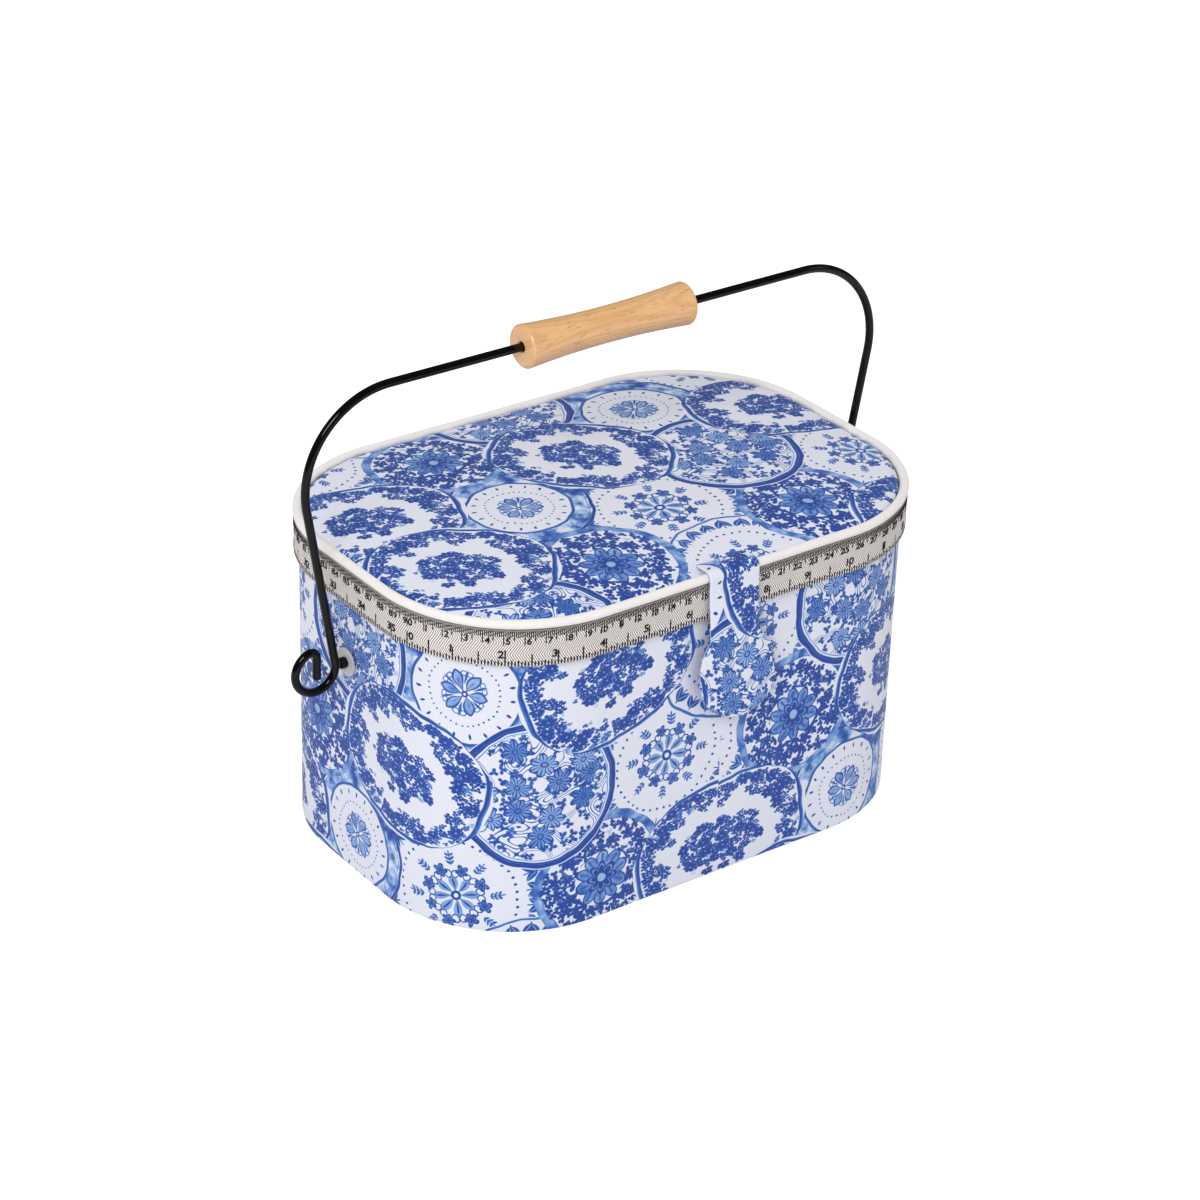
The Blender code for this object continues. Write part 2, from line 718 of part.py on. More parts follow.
def build_bail(finish, bail_axis, grip_axis):
    """The wire bail with a curl at each foot, and the turned grip on its bar."""
    half = bail_half_path()
    right = [(x, pivot_back, z) for x, z in half]
    left = [(-x, pivot_back, z) for x, z in half[:0:-1]]
    wire("bail_wire", left + right, finish["black_wire"], bail_axis)
    reach = grip_length / 2
    edge_radius = grip_end_radius - grip_edge_round
    bore = wire_radius + grip_bore_gap
    section = [(-reach, bore), (-reach, edge_radius)]
    for step in range(-grip_steps, grip_steps + 1):
        share = step / grip_steps
        radius = grip_waist_radius + (grip_end_radius - grip_waist_radius) * share * share
        section.append((share * (reach - grip_edge_round), radius))
    section += [(reach, edge_radius), (reach, bore)]
    turned("wood_grip", section, (0, pivot_back, bail_top), "X", finish["wood"], grip_axis, bored=True)


def main():
    clear_scene()
    finish = make_finishes()
    lid_axis = make_axis("lid_hinge_axis", (0, hinge_back, lid_line_height))
    tab_axis = make_axis("tab_axis", (0, tab_axis_front, tab_axis_height), lid_axis)
    bail_axis = make_axis("bail_axis", (0, pivot_back, pivot_height))
    grip_axis = make_axis("grip_axis", (0, pivot_back, bail_top), bail_axis)
    build_box(finish)
    build_tray(finish)
    build_lid_top(finish, lid_axis)
    build_lid_rim(finish, lid_axis)
    build_lid_inside(finish, lid_axis)
    build_hinge(finish, lid_axis)
    build_ribbons(finish)
    build_strap(finish, lid_axis)
    build_tab(finish, tab_axis)
    build_pivots(finish, bail_axis)
    build_bail(finish, bail_axis, grip_axis)


main()
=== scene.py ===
"""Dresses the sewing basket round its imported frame: printed cloth, tape trim, piping, wire bail and
wooden grip."""

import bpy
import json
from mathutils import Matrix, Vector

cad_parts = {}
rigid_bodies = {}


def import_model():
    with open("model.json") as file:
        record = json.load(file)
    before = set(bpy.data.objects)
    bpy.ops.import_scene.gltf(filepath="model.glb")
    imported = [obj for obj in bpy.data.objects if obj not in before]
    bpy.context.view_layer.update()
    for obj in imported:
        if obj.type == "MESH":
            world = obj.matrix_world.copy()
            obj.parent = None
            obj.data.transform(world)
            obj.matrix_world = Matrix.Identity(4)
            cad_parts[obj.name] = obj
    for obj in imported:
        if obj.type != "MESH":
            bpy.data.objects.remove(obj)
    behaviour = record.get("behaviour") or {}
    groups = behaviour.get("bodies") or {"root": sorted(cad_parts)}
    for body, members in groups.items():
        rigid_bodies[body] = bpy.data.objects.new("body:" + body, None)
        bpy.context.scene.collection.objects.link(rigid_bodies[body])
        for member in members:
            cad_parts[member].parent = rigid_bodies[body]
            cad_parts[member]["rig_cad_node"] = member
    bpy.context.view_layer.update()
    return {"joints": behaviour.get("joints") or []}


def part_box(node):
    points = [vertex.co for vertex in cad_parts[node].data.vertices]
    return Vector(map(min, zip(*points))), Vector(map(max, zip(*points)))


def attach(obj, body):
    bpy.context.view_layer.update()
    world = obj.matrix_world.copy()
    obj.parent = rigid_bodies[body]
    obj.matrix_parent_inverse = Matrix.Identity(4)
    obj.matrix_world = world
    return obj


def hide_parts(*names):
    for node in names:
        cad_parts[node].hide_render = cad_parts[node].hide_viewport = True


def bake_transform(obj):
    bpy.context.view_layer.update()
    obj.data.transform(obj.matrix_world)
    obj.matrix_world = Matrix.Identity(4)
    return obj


bl_info = {
    "name": "Sewing Basket",
    "version": (1, 0, 0),
    "blender": (4, 5, 0),
    "location": "View3D > Sidebar > Sewing Basket",
    "description": "Makes the pieces and finishes of a cloth-covered sewing basket",
    "category": "Object",
}

import json
import math
from math import cos, exp, pi, radians, sin, sqrt, tau

import bmesh
import bpy
from bpy.props import FloatProperty, FloatVectorProperty, PointerProperty
from mathutils import Matrix, Vector, noise

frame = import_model()

cover_low, cover_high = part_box("outer_cover")
tape_low, tape_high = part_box("rim_tape")
piping_low, piping_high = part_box("lid_piping")
lid_low, lid_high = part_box("lid_cover")
grip_low, grip_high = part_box("wood_grip")
wire_low, wire_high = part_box("bail_wire")
strap_low, strap_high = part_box("tab_strap")
tab_low, tab_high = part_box("closure_tab")
joints = {joint["name"]: joint for joint in frame["joints"]}
hinge_place = Vector(joints["lid_hinge"]["pos_m"])
pivot_place = Vector(joints["bail_swing"]["pos_m"])
grip_middle = (grip_low + grip_high) / 2
half_width, half_depth, corner_radius = cover_high.x, cover_high.y, 0.0738
tape_inset = half_width - tape_high.x
piping_radius = (piping_high.z - piping_low.z) / 2
piping_height = (piping_high.z + piping_low.z) / 2
quarter_turn = pi / 2
ink_lift = 0.00006  # from the tape to the line on which its ticks stand
tape_span = 0.8965  # what the printed scale covers once round the lid
cloth_map = "cloth"


def screen_colour(code):
    """A colour as it shows on the screen, six hex digits, as the light values that a shader takes."""
    values = [int(code[place:place + 2], 16) / 255 for place in (0, 2, 4)]
    return tuple(((value + 0.055) / 1.055) ** 2.4 if value > 0.04045 else value / 12.92 for value in values)


def colour_property(name, description, code):
    return FloatVectorProperty(name=name, description=description, default=screen_colour(code), size=3,
                               min=0.0, max=1.0, subtype="COLOR")


def length_property(name, description, value):
    return FloatProperty(name=name, description=description, default=value, min=0.0, precision=5,
                         subtype="DISTANCE", unit="LENGTH")


def angle_property(name, description, degrees):
    return FloatProperty(name=name, description=description, default=radians(degrees), subtype="ANGLE")


def amount_property(name, description, value, unit="NONE"):
    return FloatProperty(name=name, description=description, default=value, min=0.0, unit=unit)


class PrintSettings(bpy.types.PropertyGroup):
    """The medallion print on the cotton."""
    ground: colour_property("Ground", "Bleached cotton between the motifs", "e1e3ef")
    light: colour_property("Light blue", "Washes and petals", "9cbce4")
    middle: colour_property("Middle blue", "Rims, leaves and outlines", "4073c2")
    deep: colour_property("Cobalt", "Blossoms and the darkest lines", "1f4199")
    repeat_width: length_property("Repeat width", "The print comes again after this length", 0.290)
    repeat_height: length_property("Repeat height", "The print comes again after this height", 0.230)
    wobble: length_property("Wobble", "How far the drawn lines stray from true circles", 0.0012)
    thread: length_property("Thread", "From one thread of the weave to the next", 0.00042)


class TapeSettings(bpy.types.PropertyGroup):
    """The measuring tape round the lid."""
    cloth: colour_property("Tape", "Twill between the lines", "f7f0ec")
    line: colour_property("Twill line", "The dark diagonals of the weave", "5c514d")
    ink: colour_property("Ink", "Numbers and ticks", "0d0c0d")
    twill_pitch: length_property("Twill pitch", "From one diagonal to the next", 0.00125)
    twill_band: length_property("Twill band", "Height of one row of the herringbone", 0.0064)
    centimetre: length_property("Centimetre", "From one number of the upper scale to the next", 0.010)
    inch: length_property("Inch", "From one number of the lower scale to the next", 0.0254)
    repeat: length_property("Scale repeat", "The printed scales start again after this length", 0.900)
    seam_value: length_property("Value at the seam", "Where the upper scale stands at the front seam", 0.1795)
    line_width: length_property("Tick width", "Width of a printed tick", 0.00056)
    upper_number: length_property("Upper numbers", "Height of the centimetre numbers", 0.0036)
    lower_number: length_property("Lower numbers", "Height of the inch numbers", 0.0041)


class TrimSettings(bpy.types.PropertyGroup):
    """Piping, linings and ribbons."""
    piping: colour_property("Piping", "Cloth of the piping", "f0ecea")
    lining: colour_property("Lining", "Plain cotton inside", "dfe6f2")
    lining_dot: colour_property("Lining dot", "Small dots on the lining", "7d9fd6")
    ribbon: colour_property("Ribbon", "Stay ribbons and elastic", "eef1f7")
    cushion: colour_property("Pincushion", "Cotton of the pincushion", "3b5fb8")
    card: colour_property("Card", "Raw card", "cbc3b2")
    tray: colour_property("Tray", "Moulded tray", "e8ebf1")


class BailSettings(bpy.types.PropertyGroup):
    """The wire bail, its washers and the grip."""
    coat: colour_property("Coat", "Black coat of the wire", "050506")
    washer: colour_property("Washer", "Milky plastic", "e3e2e6")
    wood: colour_property("Wood", "Light ground of the wood", "f3c088")
    wood_dark: colour_property("Grain", "Dark lines of the grain", "d29558")
    fleck: colour_property("Fleck", "Short pores along the grain", "a56c3a")
    grain_pitch: length_property("Grain pitch", "From one ring of the grain to the next", 0.0017)
    splay: angle_property("Splay", "Lean of each leg from upright", 9.76)
    bend_radius: length_property("Bend", "Radius of the bend from leg to bar", 0.0475)
    curl_radius: length_property("Curl", "Radius of the curl at each foot", 0.0114)
    curl_turn: angle_property("Curl end", "Where the curl ends, above its outermost place", 71)
    turn_radius: length_property("Turn", "Radius of the last turn into the curl", 0.0034)
    tail: length_property("Tail", "Straight end inside the curl", 0.0115)


class StageSettings(bpy.types.PropertyGroup):
    """Camera, lamps and floor."""
    azimuth: angle_property("Azimuth", "Turn of the view about the basket", -36.927)
    elevation: angle_property("Elevation", "Height of the view above the floor", 28.416)
    roll: angle_property("Roll", "Tilt of the picture", 1.847)
    distance: length_property("Distance", "From the camera to its aim", 1.8074)
    lens: FloatProperty(name="Lens", description="Focal length on a 36 mm sensor", default=106.01, min=1.0,
                        subtype="DISTANCE_CAMERA", unit="CAMERA")
    aim: FloatVectorProperty(name="Aim", description="Point that the camera looks at",
                             default=(-0.0006, -0.0002, 0.1106), size=3, subtype="TRANSLATION")
    floor: colour_property("Floor", "Pale floor", "f4f4f4")
    key_power: amount_property("Key lamp", "Power of the large lamp at the left", 13.5, "POWER")
    fill_power: amount_property("Fill lamp", "Power of the lamp at the right", 1.0, "POWER")
    floor_glow: amount_property("Floor glow", "How much paler the camera sees the floor", 0.55)
    sky: amount_property("Sky", "Strength of the even light from all sides", 0.70)


# Sums and patterns in shader trees

class Field:
    """A value in a shader tree. Arithmetic on it adds math nodes, so that a pattern reads as a sum."""

    def __init__(self, tree, socket):
        self.tree = tree
        self.socket = socket

    def math(self, operation, *others):
        return combined(self.tree, "ShaderNodeMath", (self, *others), operation=operation)

    def __add__(self, other):
        return self.math("ADD", other)

    def __sub__(self, other):
        return self.math("SUBTRACT", other)

    def __rsub__(self, other):
        return (self * -1.0) + other

    def __mul__(self, other):
        return self.math("MULTIPLY", other)

    def __truediv__(self, other):
        return self.math("DIVIDE", other)

    __radd__ = __add__
    __rmul__ = __mul__

    def wrapped(self, span):
        """The value brought into the range from minus half a span to plus half a span."""
        return self.math("WRAP", span / 2, -span / 2)

    def below(self, limit, soft):
        """One where the value is well below the limit, fading to nothing over the soft width."""
        value, edge = (self - limit, 0.0) if isinstance(limit, Field) else (self, limit)
        return new_value(self.tree, "ShaderNodeMapRange", {
            "Value": value, "From Min": edge - soft, "From Max": edge + soft, "To Min": 1.0, "To Max": 0.0})

    def above(self, limit, soft):
        """One where the value is well above the limit."""
        return 1.0 - self.below(limit, soft)

    def near(self, place, half, soft):
        """One close to a place, within a half width."""
        return (self - place).math("ABSOLUTE").below(half, soft)

    def over(self, under, mask):
        """This value where the mask is one, and the one under it elsewhere."""
        return blended(self.tree, "FLOAT", mask, under, self)


def feed(tree, entry, value):
    """Links a field to a node's input, or sets the input to a plain value."""
    if isinstance(value, Field):
        tree.links.new(value.socket, entry)
    else:
        entry.default_value = value


def new_node(tree, kind, entries=None, **settings):
    """A node with its settings, and with fields or plain values in its inputs."""
    node = tree.nodes.new(kind)
    for name, value in settings.items():
        setattr(node, name, value)
    for entry, value in (entries or {}).items():
        feed(tree, node.inputs[entry], value)
    return node


def new_value(tree, kind, entries=None, output=0, **settings):
    """What such a node gives."""
    return Field(tree, new_node(tree, kind, entries, **settings).outputs[output])


def combined(tree, kind, values, **settings):
    """What a node gives for values in the inputs that its settings leave open, in their order."""
    node = new_node(tree, kind, **settings)
    for entry, value in zip([entry for entry in node.inputs if entry.enabled], values):
        feed(tree, entry, value)
    return Field(tree, next(output for output in node.outputs if output.enabled))


def blended(tree, kind, mask, under, upper):
    """A mix of two values, vectors or colours."""
    return combined(tree, "ShaderNodeMix", (mask, under, upper), data_type=kind)


def vector_math(tree, operation, *values):
    """Vector math on fields or plain vectors."""
    return combined(tree, "ShaderNodeVectorMath", values, operation=operation)


def split(tree, vector):
    """The three parts of a vector or colour."""
    node = new_node(tree, "ShaderNodeSeparateXYZ", {0: vector})
    return [Field(tree, output) for output in node.outputs]


def joined(tree, x, y, z=0.0):
    """A vector from three parts."""
    return combined(tree, "ShaderNodeCombineXYZ", (x, y, z))


def cloud(tree, vector, scale, detail=2.0, roughness=0.5, dimensions="2D", output=0):
    """Soft random values about one half."""
    return new_value(tree, "ShaderNodeTexNoise", {
        "Vector": vector, "Scale": scale, "Detail": detail, "Roughness": roughness}, output,
        noise_dimensions=dimensions)


def scattered(tree, vector, scale, stray=0.8):
    """Random cells: the place from each cell's middle, in cell widths, the middle and two random numbers."""
    node = new_node(tree, "ShaderNodeTexVoronoi", {"Vector": vector, "Scale": scale, "Randomness": stray},
                    voronoi_dimensions="2D")
    middle = Field(tree, node.outputs["Position"])
    x, y, _ = split(tree, vector_math(tree, "SUBTRACT", vector, middle))
    chance, other, _ = split(tree, Field(tree, node.outputs["Color"]))
    return x * scale, y * scale, middle, chance, other


def highest(first, *others):
    """The greatest of several fields."""
    for other in others:
        first = first.math("MAXIMUM", other)
    return first


def stacked(layers):
    """Fields laid one over another, from (field, mask) pairs; the lowest one needs no mask."""
    top = None
    for layer, mask in layers:
        top = layer if top is None else layer.over(top, mask)
    return top


def radius_of(x, y):
    """Distance from the middle."""
    return (x * x + y * y).math("SQRT")


def turned_paper(x, y, angle):
    """The place x, y seen on paper that is turned by an angle."""
    return x * cos(angle) + y * sin(angle), y * cos(angle) - x * sin(angle)


def round_about(radius, angle, count, at, start=0.0):
    """Places about the middles of equal copies on a circle: across each copy, and outwards from it."""
    return ((angle + start) * (count / tau)).wrapped(1.0) * (tau / count * at), radius - at


def dots_about(radius, angle, count, at, size):
    """Small equal dots on a circle."""
    x, y = round_about(radius, angle, count, at)
    return radius_of(x, y).below(size, 0.004) * 0.92


def leaf(x, y, half_length, half_width, soft):
    """A pointed leaf along y."""
    share = y / half_length
    return (x.math("ABSOLUTE") - (1.0 - share * share) * half_width).below(0.0, soft)


def blossom(x, y, petals, reach, notch, turn, soft):
    """A flower with round petals: its silhouette, how far in from its rim a place lies, and its angle."""
    radius = radius_of(x, y)
    angle = y.math("ARCTAN2", x) + turn
    lobes = (angle * (petals / 2)).math("COSINE").math("ABSOLUTE")
    inside = (lobes * notch + (1.0 - notch)) * reach - radius
    return inside.above(0.0, soft), inside, radius, angle


# Designs of the print. Each gives a tone, from 0 for bare cloth to 1 for cobalt, at a place on a disc of
# radius one.

def square_reach(x, y, power=2.7):
    """How far out a place lies on a disc that is nearly square, a little more than its radius."""
    across, up = (side.math("ABSOLUTE").math("POWER", power) for side in (x, y))
    return (across + up).math("POWER", 1 / power) * 1.04


def flower_band_design(tree, paper, x, y, radius, angle):
    """Clumps of small dark flowers and leaves inside a lobed edge, and a ragged posy in the middle."""
    reach = square_reach(x, y)
    layers = []
    for scale, petals, size, notch, depth, share in (
            (17.0, 3, 0.64, 0.66, 0.92, 0.16), (10.0, 4, 0.62, 0.60, 1.0, 0.12),
            (5.8, 6, 0.50, 0.34, 1.1, 0.30)):
        cx, cy, middle, chance, other = scattered(tree, paper, scale, 0.95)
        middle_x, middle_y, _ = split(tree, middle)
        clump = cloud(tree, middle, 3.6, 2.0, 0.6) * 0.62 - 0.31
        away = square_reach(middle_x, middle_y)
        band = (away + clump).above(0.66, 0.01) * away.below(0.92, 0.005)
        posy = (radius_of(middle_x, middle_y) - clump * 0.8).below(0.39, 0.01)
        shape, inside, heart, turn = blossom(cx, cy, petals, size, notch, chance * tau, 0.05)
        light = inside.near(0.13, 0.03, 0.03) * 0.34 + heart.below(0.09, 0.04) * 0.6
        light = light + (turn * (petals * 2.0)).math("COSINE").above(0.72, 0.2) * 0.2
        drawn = shape * other.above(share, 0.01) * band.math("MAXIMUM", posy)
        layers.append((drawn * (depth - light), drawn))
    edge = reach.near(0.972, 0.026, 0.008) * (0.86 - reach.near(0.985, 0.006, 0.008) * 0.3)
    return highest(edge, stacked(layers) * reach.below(0.945, 0.008))


def wreath_design(tree, paper, x, y, radius, angle):
    """A wreath of leaf sprigs, a ring of dots and a lattice rosette with sprays."""
    across, out = round_about(radius, angle, 26, 0.85)
    lean_x, lean_y = turned_paper(across.math("ABSOLUTE") - 0.040, out, 0.6)
    sprig = leaf(lean_x, lean_y, 0.090, 0.038, 0.008) * (0.84 - lean_x.near(0.0, 0.006, 0.006) * 0.5)
    stem = across.near(0.0, 0.008, 0.004) * out.near(0.0, 0.09, 0.01) * 0.8
    dots = dots_about(radius, angle, 44, 0.655, 0.0155)
    petal_x, petal_y = round_about(radius, angle, 8, 0.150)
    petal = leaf(petal_x, petal_y, 0.12, 0.046, 0.006) * 0.44
    rib = leaf(petal_x, petal_y, 0.09, 0.013, 0.006) * 0.9
    outer_x, outer_y = round_about(radius, angle, 8, 0.325, pi / 8)
    tip, inside, _, _ = blossom(outer_x, outer_y, 5, 0.082, 0.45, pi / 2, 0.006)
    curl = radius_of(outer_x.math("ABSOLUTE") - 0.080, outer_y + 0.050).near(0.045, 0.008, 0.004) * 0.8
    spray_x, spray_y = round_about(radius, angle, 8, 0.46)
    twig = spray_x.near(0.0, 0.006, 0.004) * spray_y.near(0.0, 0.085, 0.01) * 0.85
    side_x = spray_x.math("ABSOLUTE")
    blades = [leaf(*turned_paper(side_x - 0.024, spray_y - height, -0.85), long_half, 0.015, 0.005)
              for height, long_half in ((-0.055, 0.034), (-0.01, 0.038), (0.035, 0.030))]
    heart = radius.near(0.045, 0.016, 0.006) * 0.9
    edge = radius.near(0.975, 0.015, 0.006) * 0.66
    return highest(sprig, stem, dots, petal, rib, tip * 0.86 - inside.near(0.03, 0.008, 0.004) * 0.36,
                   curl, twig, highest(*blades) * 0.7, heart, edge)


def star_design(tree, paper, x, y, radius, angle):
    """A washed rim between drawn lines, and an outlined star flower in a dotted circle."""
    wash = cloud(tree, paper, 3.2, 3.0, 0.6)
    rim = radius.above(0.70, 0.015) * (wash * 2.2 - 0.72).math("MAXIMUM", 0.12)
    bow_x, bow_y = round_about(radius, angle, 5, 0.86, 0.4)
    bow = radius_of(bow_x * 0.55, bow_y * 1.4 + 0.05).near(0.125, 0.03, 0.03) * wash * 0.95
    mark_x, mark_y = round_about(radius, angle, 19, 0.60)
    marks = leaf(mark_x, mark_y, 0.040, 0.017, 0.005) * 0.9
    dots = dots_about(radius, angle, 38, 0.45, 0.0125)
    petal_x, petal_y = round_about(radius, angle, 6, 0.165)
    width = (1.0 - (petal_y / 0.15) * (petal_y / 0.15)) * 0.062 - petal_x.math("ABSOLUTE")
    petal = width.above(0.0, 0.006) * (wash * 0.6 + 0.12)
    outline = width.near(0.006, 0.011, 0.004) * 0.80
    vein = petal_x.near(0.0, 0.006, 0.004) * petal_y.near(-0.04, 0.09, 0.02) * 0.85
    blade_x, blade_y = round_about(radius, angle, 6, 0.220, pi / 6)
    blade = leaf(blade_x, blade_y, 0.100, 0.017, 0.006) * 0.72
    tendril = radius_of(blade_x.math("ABSOLUTE") - 0.034, blade_y - 0.050)
    tendril = tendril.near(0.030, 0.007, 0.005) * 0.66
    heart = radius.near(0.030, 0.012, 0.006) * 0.9
    bows = bow * radius.above(0.70, 0.01) * radius.below(0.96, 0.01)
    lines = [radius.near(at, half, 0.006) * depth
             for at, half, depth in ((0.972, 0.022, 0.92), (0.705, 0.020, 0.74), (0.915, 0.007, 0.62))]
    return highest(rim, bows, *lines, marks, dots, petal, outline, vein, blade, tendril, heart)


def garden_design(tree, paper, x, y, radius, angle):
    """A strong dark ring round outlined flowers on curling stems."""
    field = radius.below(0.86, 0.01)
    cx, cy, middle, chance, other = scattered(tree, paper, 2.7, 0.7)
    shape, inside, heart, turn = blossom(cx, cy, 7, 0.44, 0.40, chance * tau, 0.015)
    flower_place = vector_math(tree, "LENGTH", middle).below(0.72, 0.01)
    shape = shape * flower_place
    veins = (turn * 14.0).math("COSINE").above(0.45, 0.3) * 0.34
    fill = shape * (0.32 + other * 0.26 + veins)
    line = inside.near(0.0, 0.030, 0.012) * flower_place * 0.96
    eye = heart.near(0.085, 0.024, 0.012) * flower_place * 0.92
    path = cloud(tree, paper, 3.0, 0.0)
    stems = [path.near(level, half, 0.006)
             for level, half in ((0.5, 0.012), (0.36, 0.008), (0.43, 0.008), (0.58, 0.008))]
    stems = highest(*stems) * (1.0 - shape) * 0.85
    lx, ly, _, leaf_turn, leaf_other = scattered(tree, paper, 8.0, 0.9)
    leaves, blade, _, _ = blossom(lx, ly, 3, 0.50, 0.78, leaf_turn * tau, 0.05)
    leaves = leaves * leaf_other.above(0.34, 0.01) * (1.0 - shape)
    leaves = leaves * (0.78 - blade.near(0.08, 0.02, 0.03) * 0.3)
    ring = radius.near(0.945, 0.042, 0.008) * (0.98 - radius.near(0.93, 0.006, 0.006) * 0.35)
    inner_line = radius.near(0.875, 0.006, 0.004) * 0.6
    return highest(highest(fill, line, eye, stems, leaves) * field, ring, inner_line)


def great_flower_design(tree, paper, x, y, radius, angle):
    """A light rim round a many-petalled flower among dense leaves."""
    wash = cloud(tree, paper, 4.0, 2.0, 0.6)
    clear = radius.below(0.42, 0.01)
    layers = []
    for scale, petals, size, reach, share in ((10.0, 3, 0.60, 0.88, 0.18), (5.2, 5, 0.60, 0.82, 0.12)):
        lx, ly, middle, chance, other = scattered(tree, paper, scale, 0.9)
        shape, inside, _, _ = blossom(lx, ly, petals, size, 0.62, chance * tau, 0.04)
        shape = shape * vector_math(tree, "LENGTH", middle).below(reach, 0.01) * other.above(share, 0.01)
        layers.append((shape * (0.84 + other * 0.3 - inside.near(0.12, 0.025, 0.02) * 0.45), shape))
    outer, outer_in, _, _ = blossom(x, y, 10, 0.42, 0.26, 0.0, 0.008)
    inner, inner_in, _, _ = blossom(x, y, 8, 0.26, 0.34, 0.3, 0.008)
    leaves, petals = stacked(layers) * (1.0 - clear), outer * (wash * 0.5 + 0.24)
    rays = (angle * 20.0).math("COSINE").above(0.2, 0.3) * outer * radius.near(0.30, 0.09, 0.03) * 0.7
    outline = outer_in.near(0.0, 0.016, 0.006) * 0.9
    core = (0.94 - inner_in.near(0.06, 0.014, 0.008) * 0.6) * inner
    tone = highest(leaves, petals, rays, outline, core) - radius.below(0.07, 0.01) * 0.6
    rim = radius.above(0.88, 0.01) * (wash * 0.9 + 0.06)
    return highest(tone, rim, radius.near(0.885, 0.008, 0.005) * 0.66)


designs = (wreath_design, star_design, great_flower_design, garden_design, flower_band_design)

# Discs of the repeat, from the lowest to the topmost: the middle as shares of the repeat, the half width and
# half height in metres, the turn in degrees and the number of the design.
discs = (
    ((0.53, 0.08), (0.047, 0.047), 10, 0),
    ((0.92, 0.35), (0.046, 0.046), 40, 0),
    ((0.05, 0.60), (0.047, 0.047), 0, 0),
    ((0.67, 0.84), (0.046, 0.046), 25, 0),
    ((0.29, 0.10), (0.038, 0.038), 0, 1),
    ((0.54, 0.58), (0.040, 0.040), 50, 1),
    ((0.93, 0.85), (0.039, 0.039), 20, 1),
    ((0.79, 0.10), (0.037, 0.037), 15, 2),
    ((0.16, 0.34), (0.036, 0.036), 60, 2),
    ((0.42, 0.84), (0.037, 0.037), 0, 2),
    ((0.67, 0.34), (0.042, 0.042), 0, 3),
    ((0.29, 0.60), (0.041, 0.041), 70, 3),
    ((0.03, 0.08), (0.050, 0.038), 8, 4),
    ((0.42, 0.35), (0.050, 0.039), -14, 4),
    ((0.80, 0.60), (0.051, 0.039), 16, 4),
    ((0.17, 0.85), (0.049, 0.039), -6, 4),
)


def print_group(settings):
    """The node group of the printed cotton: a place on the cloth in metres goes in, its tone comes out."""
    tree = bpy.data.node_groups.new("medallion_print", "ShaderNodeTree")
    tree.interface.new_socket("Place", in_out="INPUT", socket_type="NodeSocketVector")
    tree.interface.new_socket("Tone", in_out="OUTPUT", socket_type="NodeSocketFloat")
    place = new_value(tree, "NodeGroupInput")
    drift = cloud(tree, place, 70.0, 1.0, output="Color")
    sway = vector_math(tree, "SUBTRACT", drift, (0.5, 0.5, 0.5))
    place = vector_math(tree, "ADD", place, vector_math(tree, "SCALE", sway, 2.4 * settings.wobble))
    repeat = (settings.repeat_width, settings.repeat_height, 1.0)
    half = [length / 2 for length in repeat]
    chosen, kind = joined(tree, 0.9, 0.0), None
    for middle, size, turn, design in discs:
        centre = (middle[0] * repeat[0], middle[1] * repeat[1], 0.0)
        local = vector_math(tree, "SUBTRACT", place, centre)
        local = vector_math(tree, "WRAP", local, half, [-length for length in half])
        if turn:
            local = new_value(tree, "ShaderNodeVectorRotate", {"Vector": local, "Angle": radians(-turn)},
                              rotation_type="Z_AXIS")
        local = vector_math(tree, "MULTIPLY", local, (1 / size[0], 1 / size[1], 0.0))
        inside = vector_math(tree, "LENGTH", local).math("LESS_THAN", 1.0)
        chosen = blended(tree, "VECTOR", inside, chosen, local)
        kind = inside * design if kind is None else kind * (1.0 - inside) + inside * design
    x, y, _ = split(tree, chosen)
    radius = radius_of(x, y)
    angle = y.math("ARCTAN2", x)
    tone = stacked((design(tree, chosen, x, y, radius, angle),
                    kind.near(float(number), 0.5, 0.01) if number else None)
                   for number, design in enumerate(designs))
    bleed = cloud(tree, place, 260.0, 3.0, 0.6) * 0.34 + 0.83
    pool = cloud(tree, place, 45.0) * 0.30 + 0.86
    tone = tone * bleed * pool + (cloud(tree, place, 30.0) - 0.5) * 0.06
    new_node(tree, "NodeGroupOutput", {0: tone})
    return tree


# Finishes

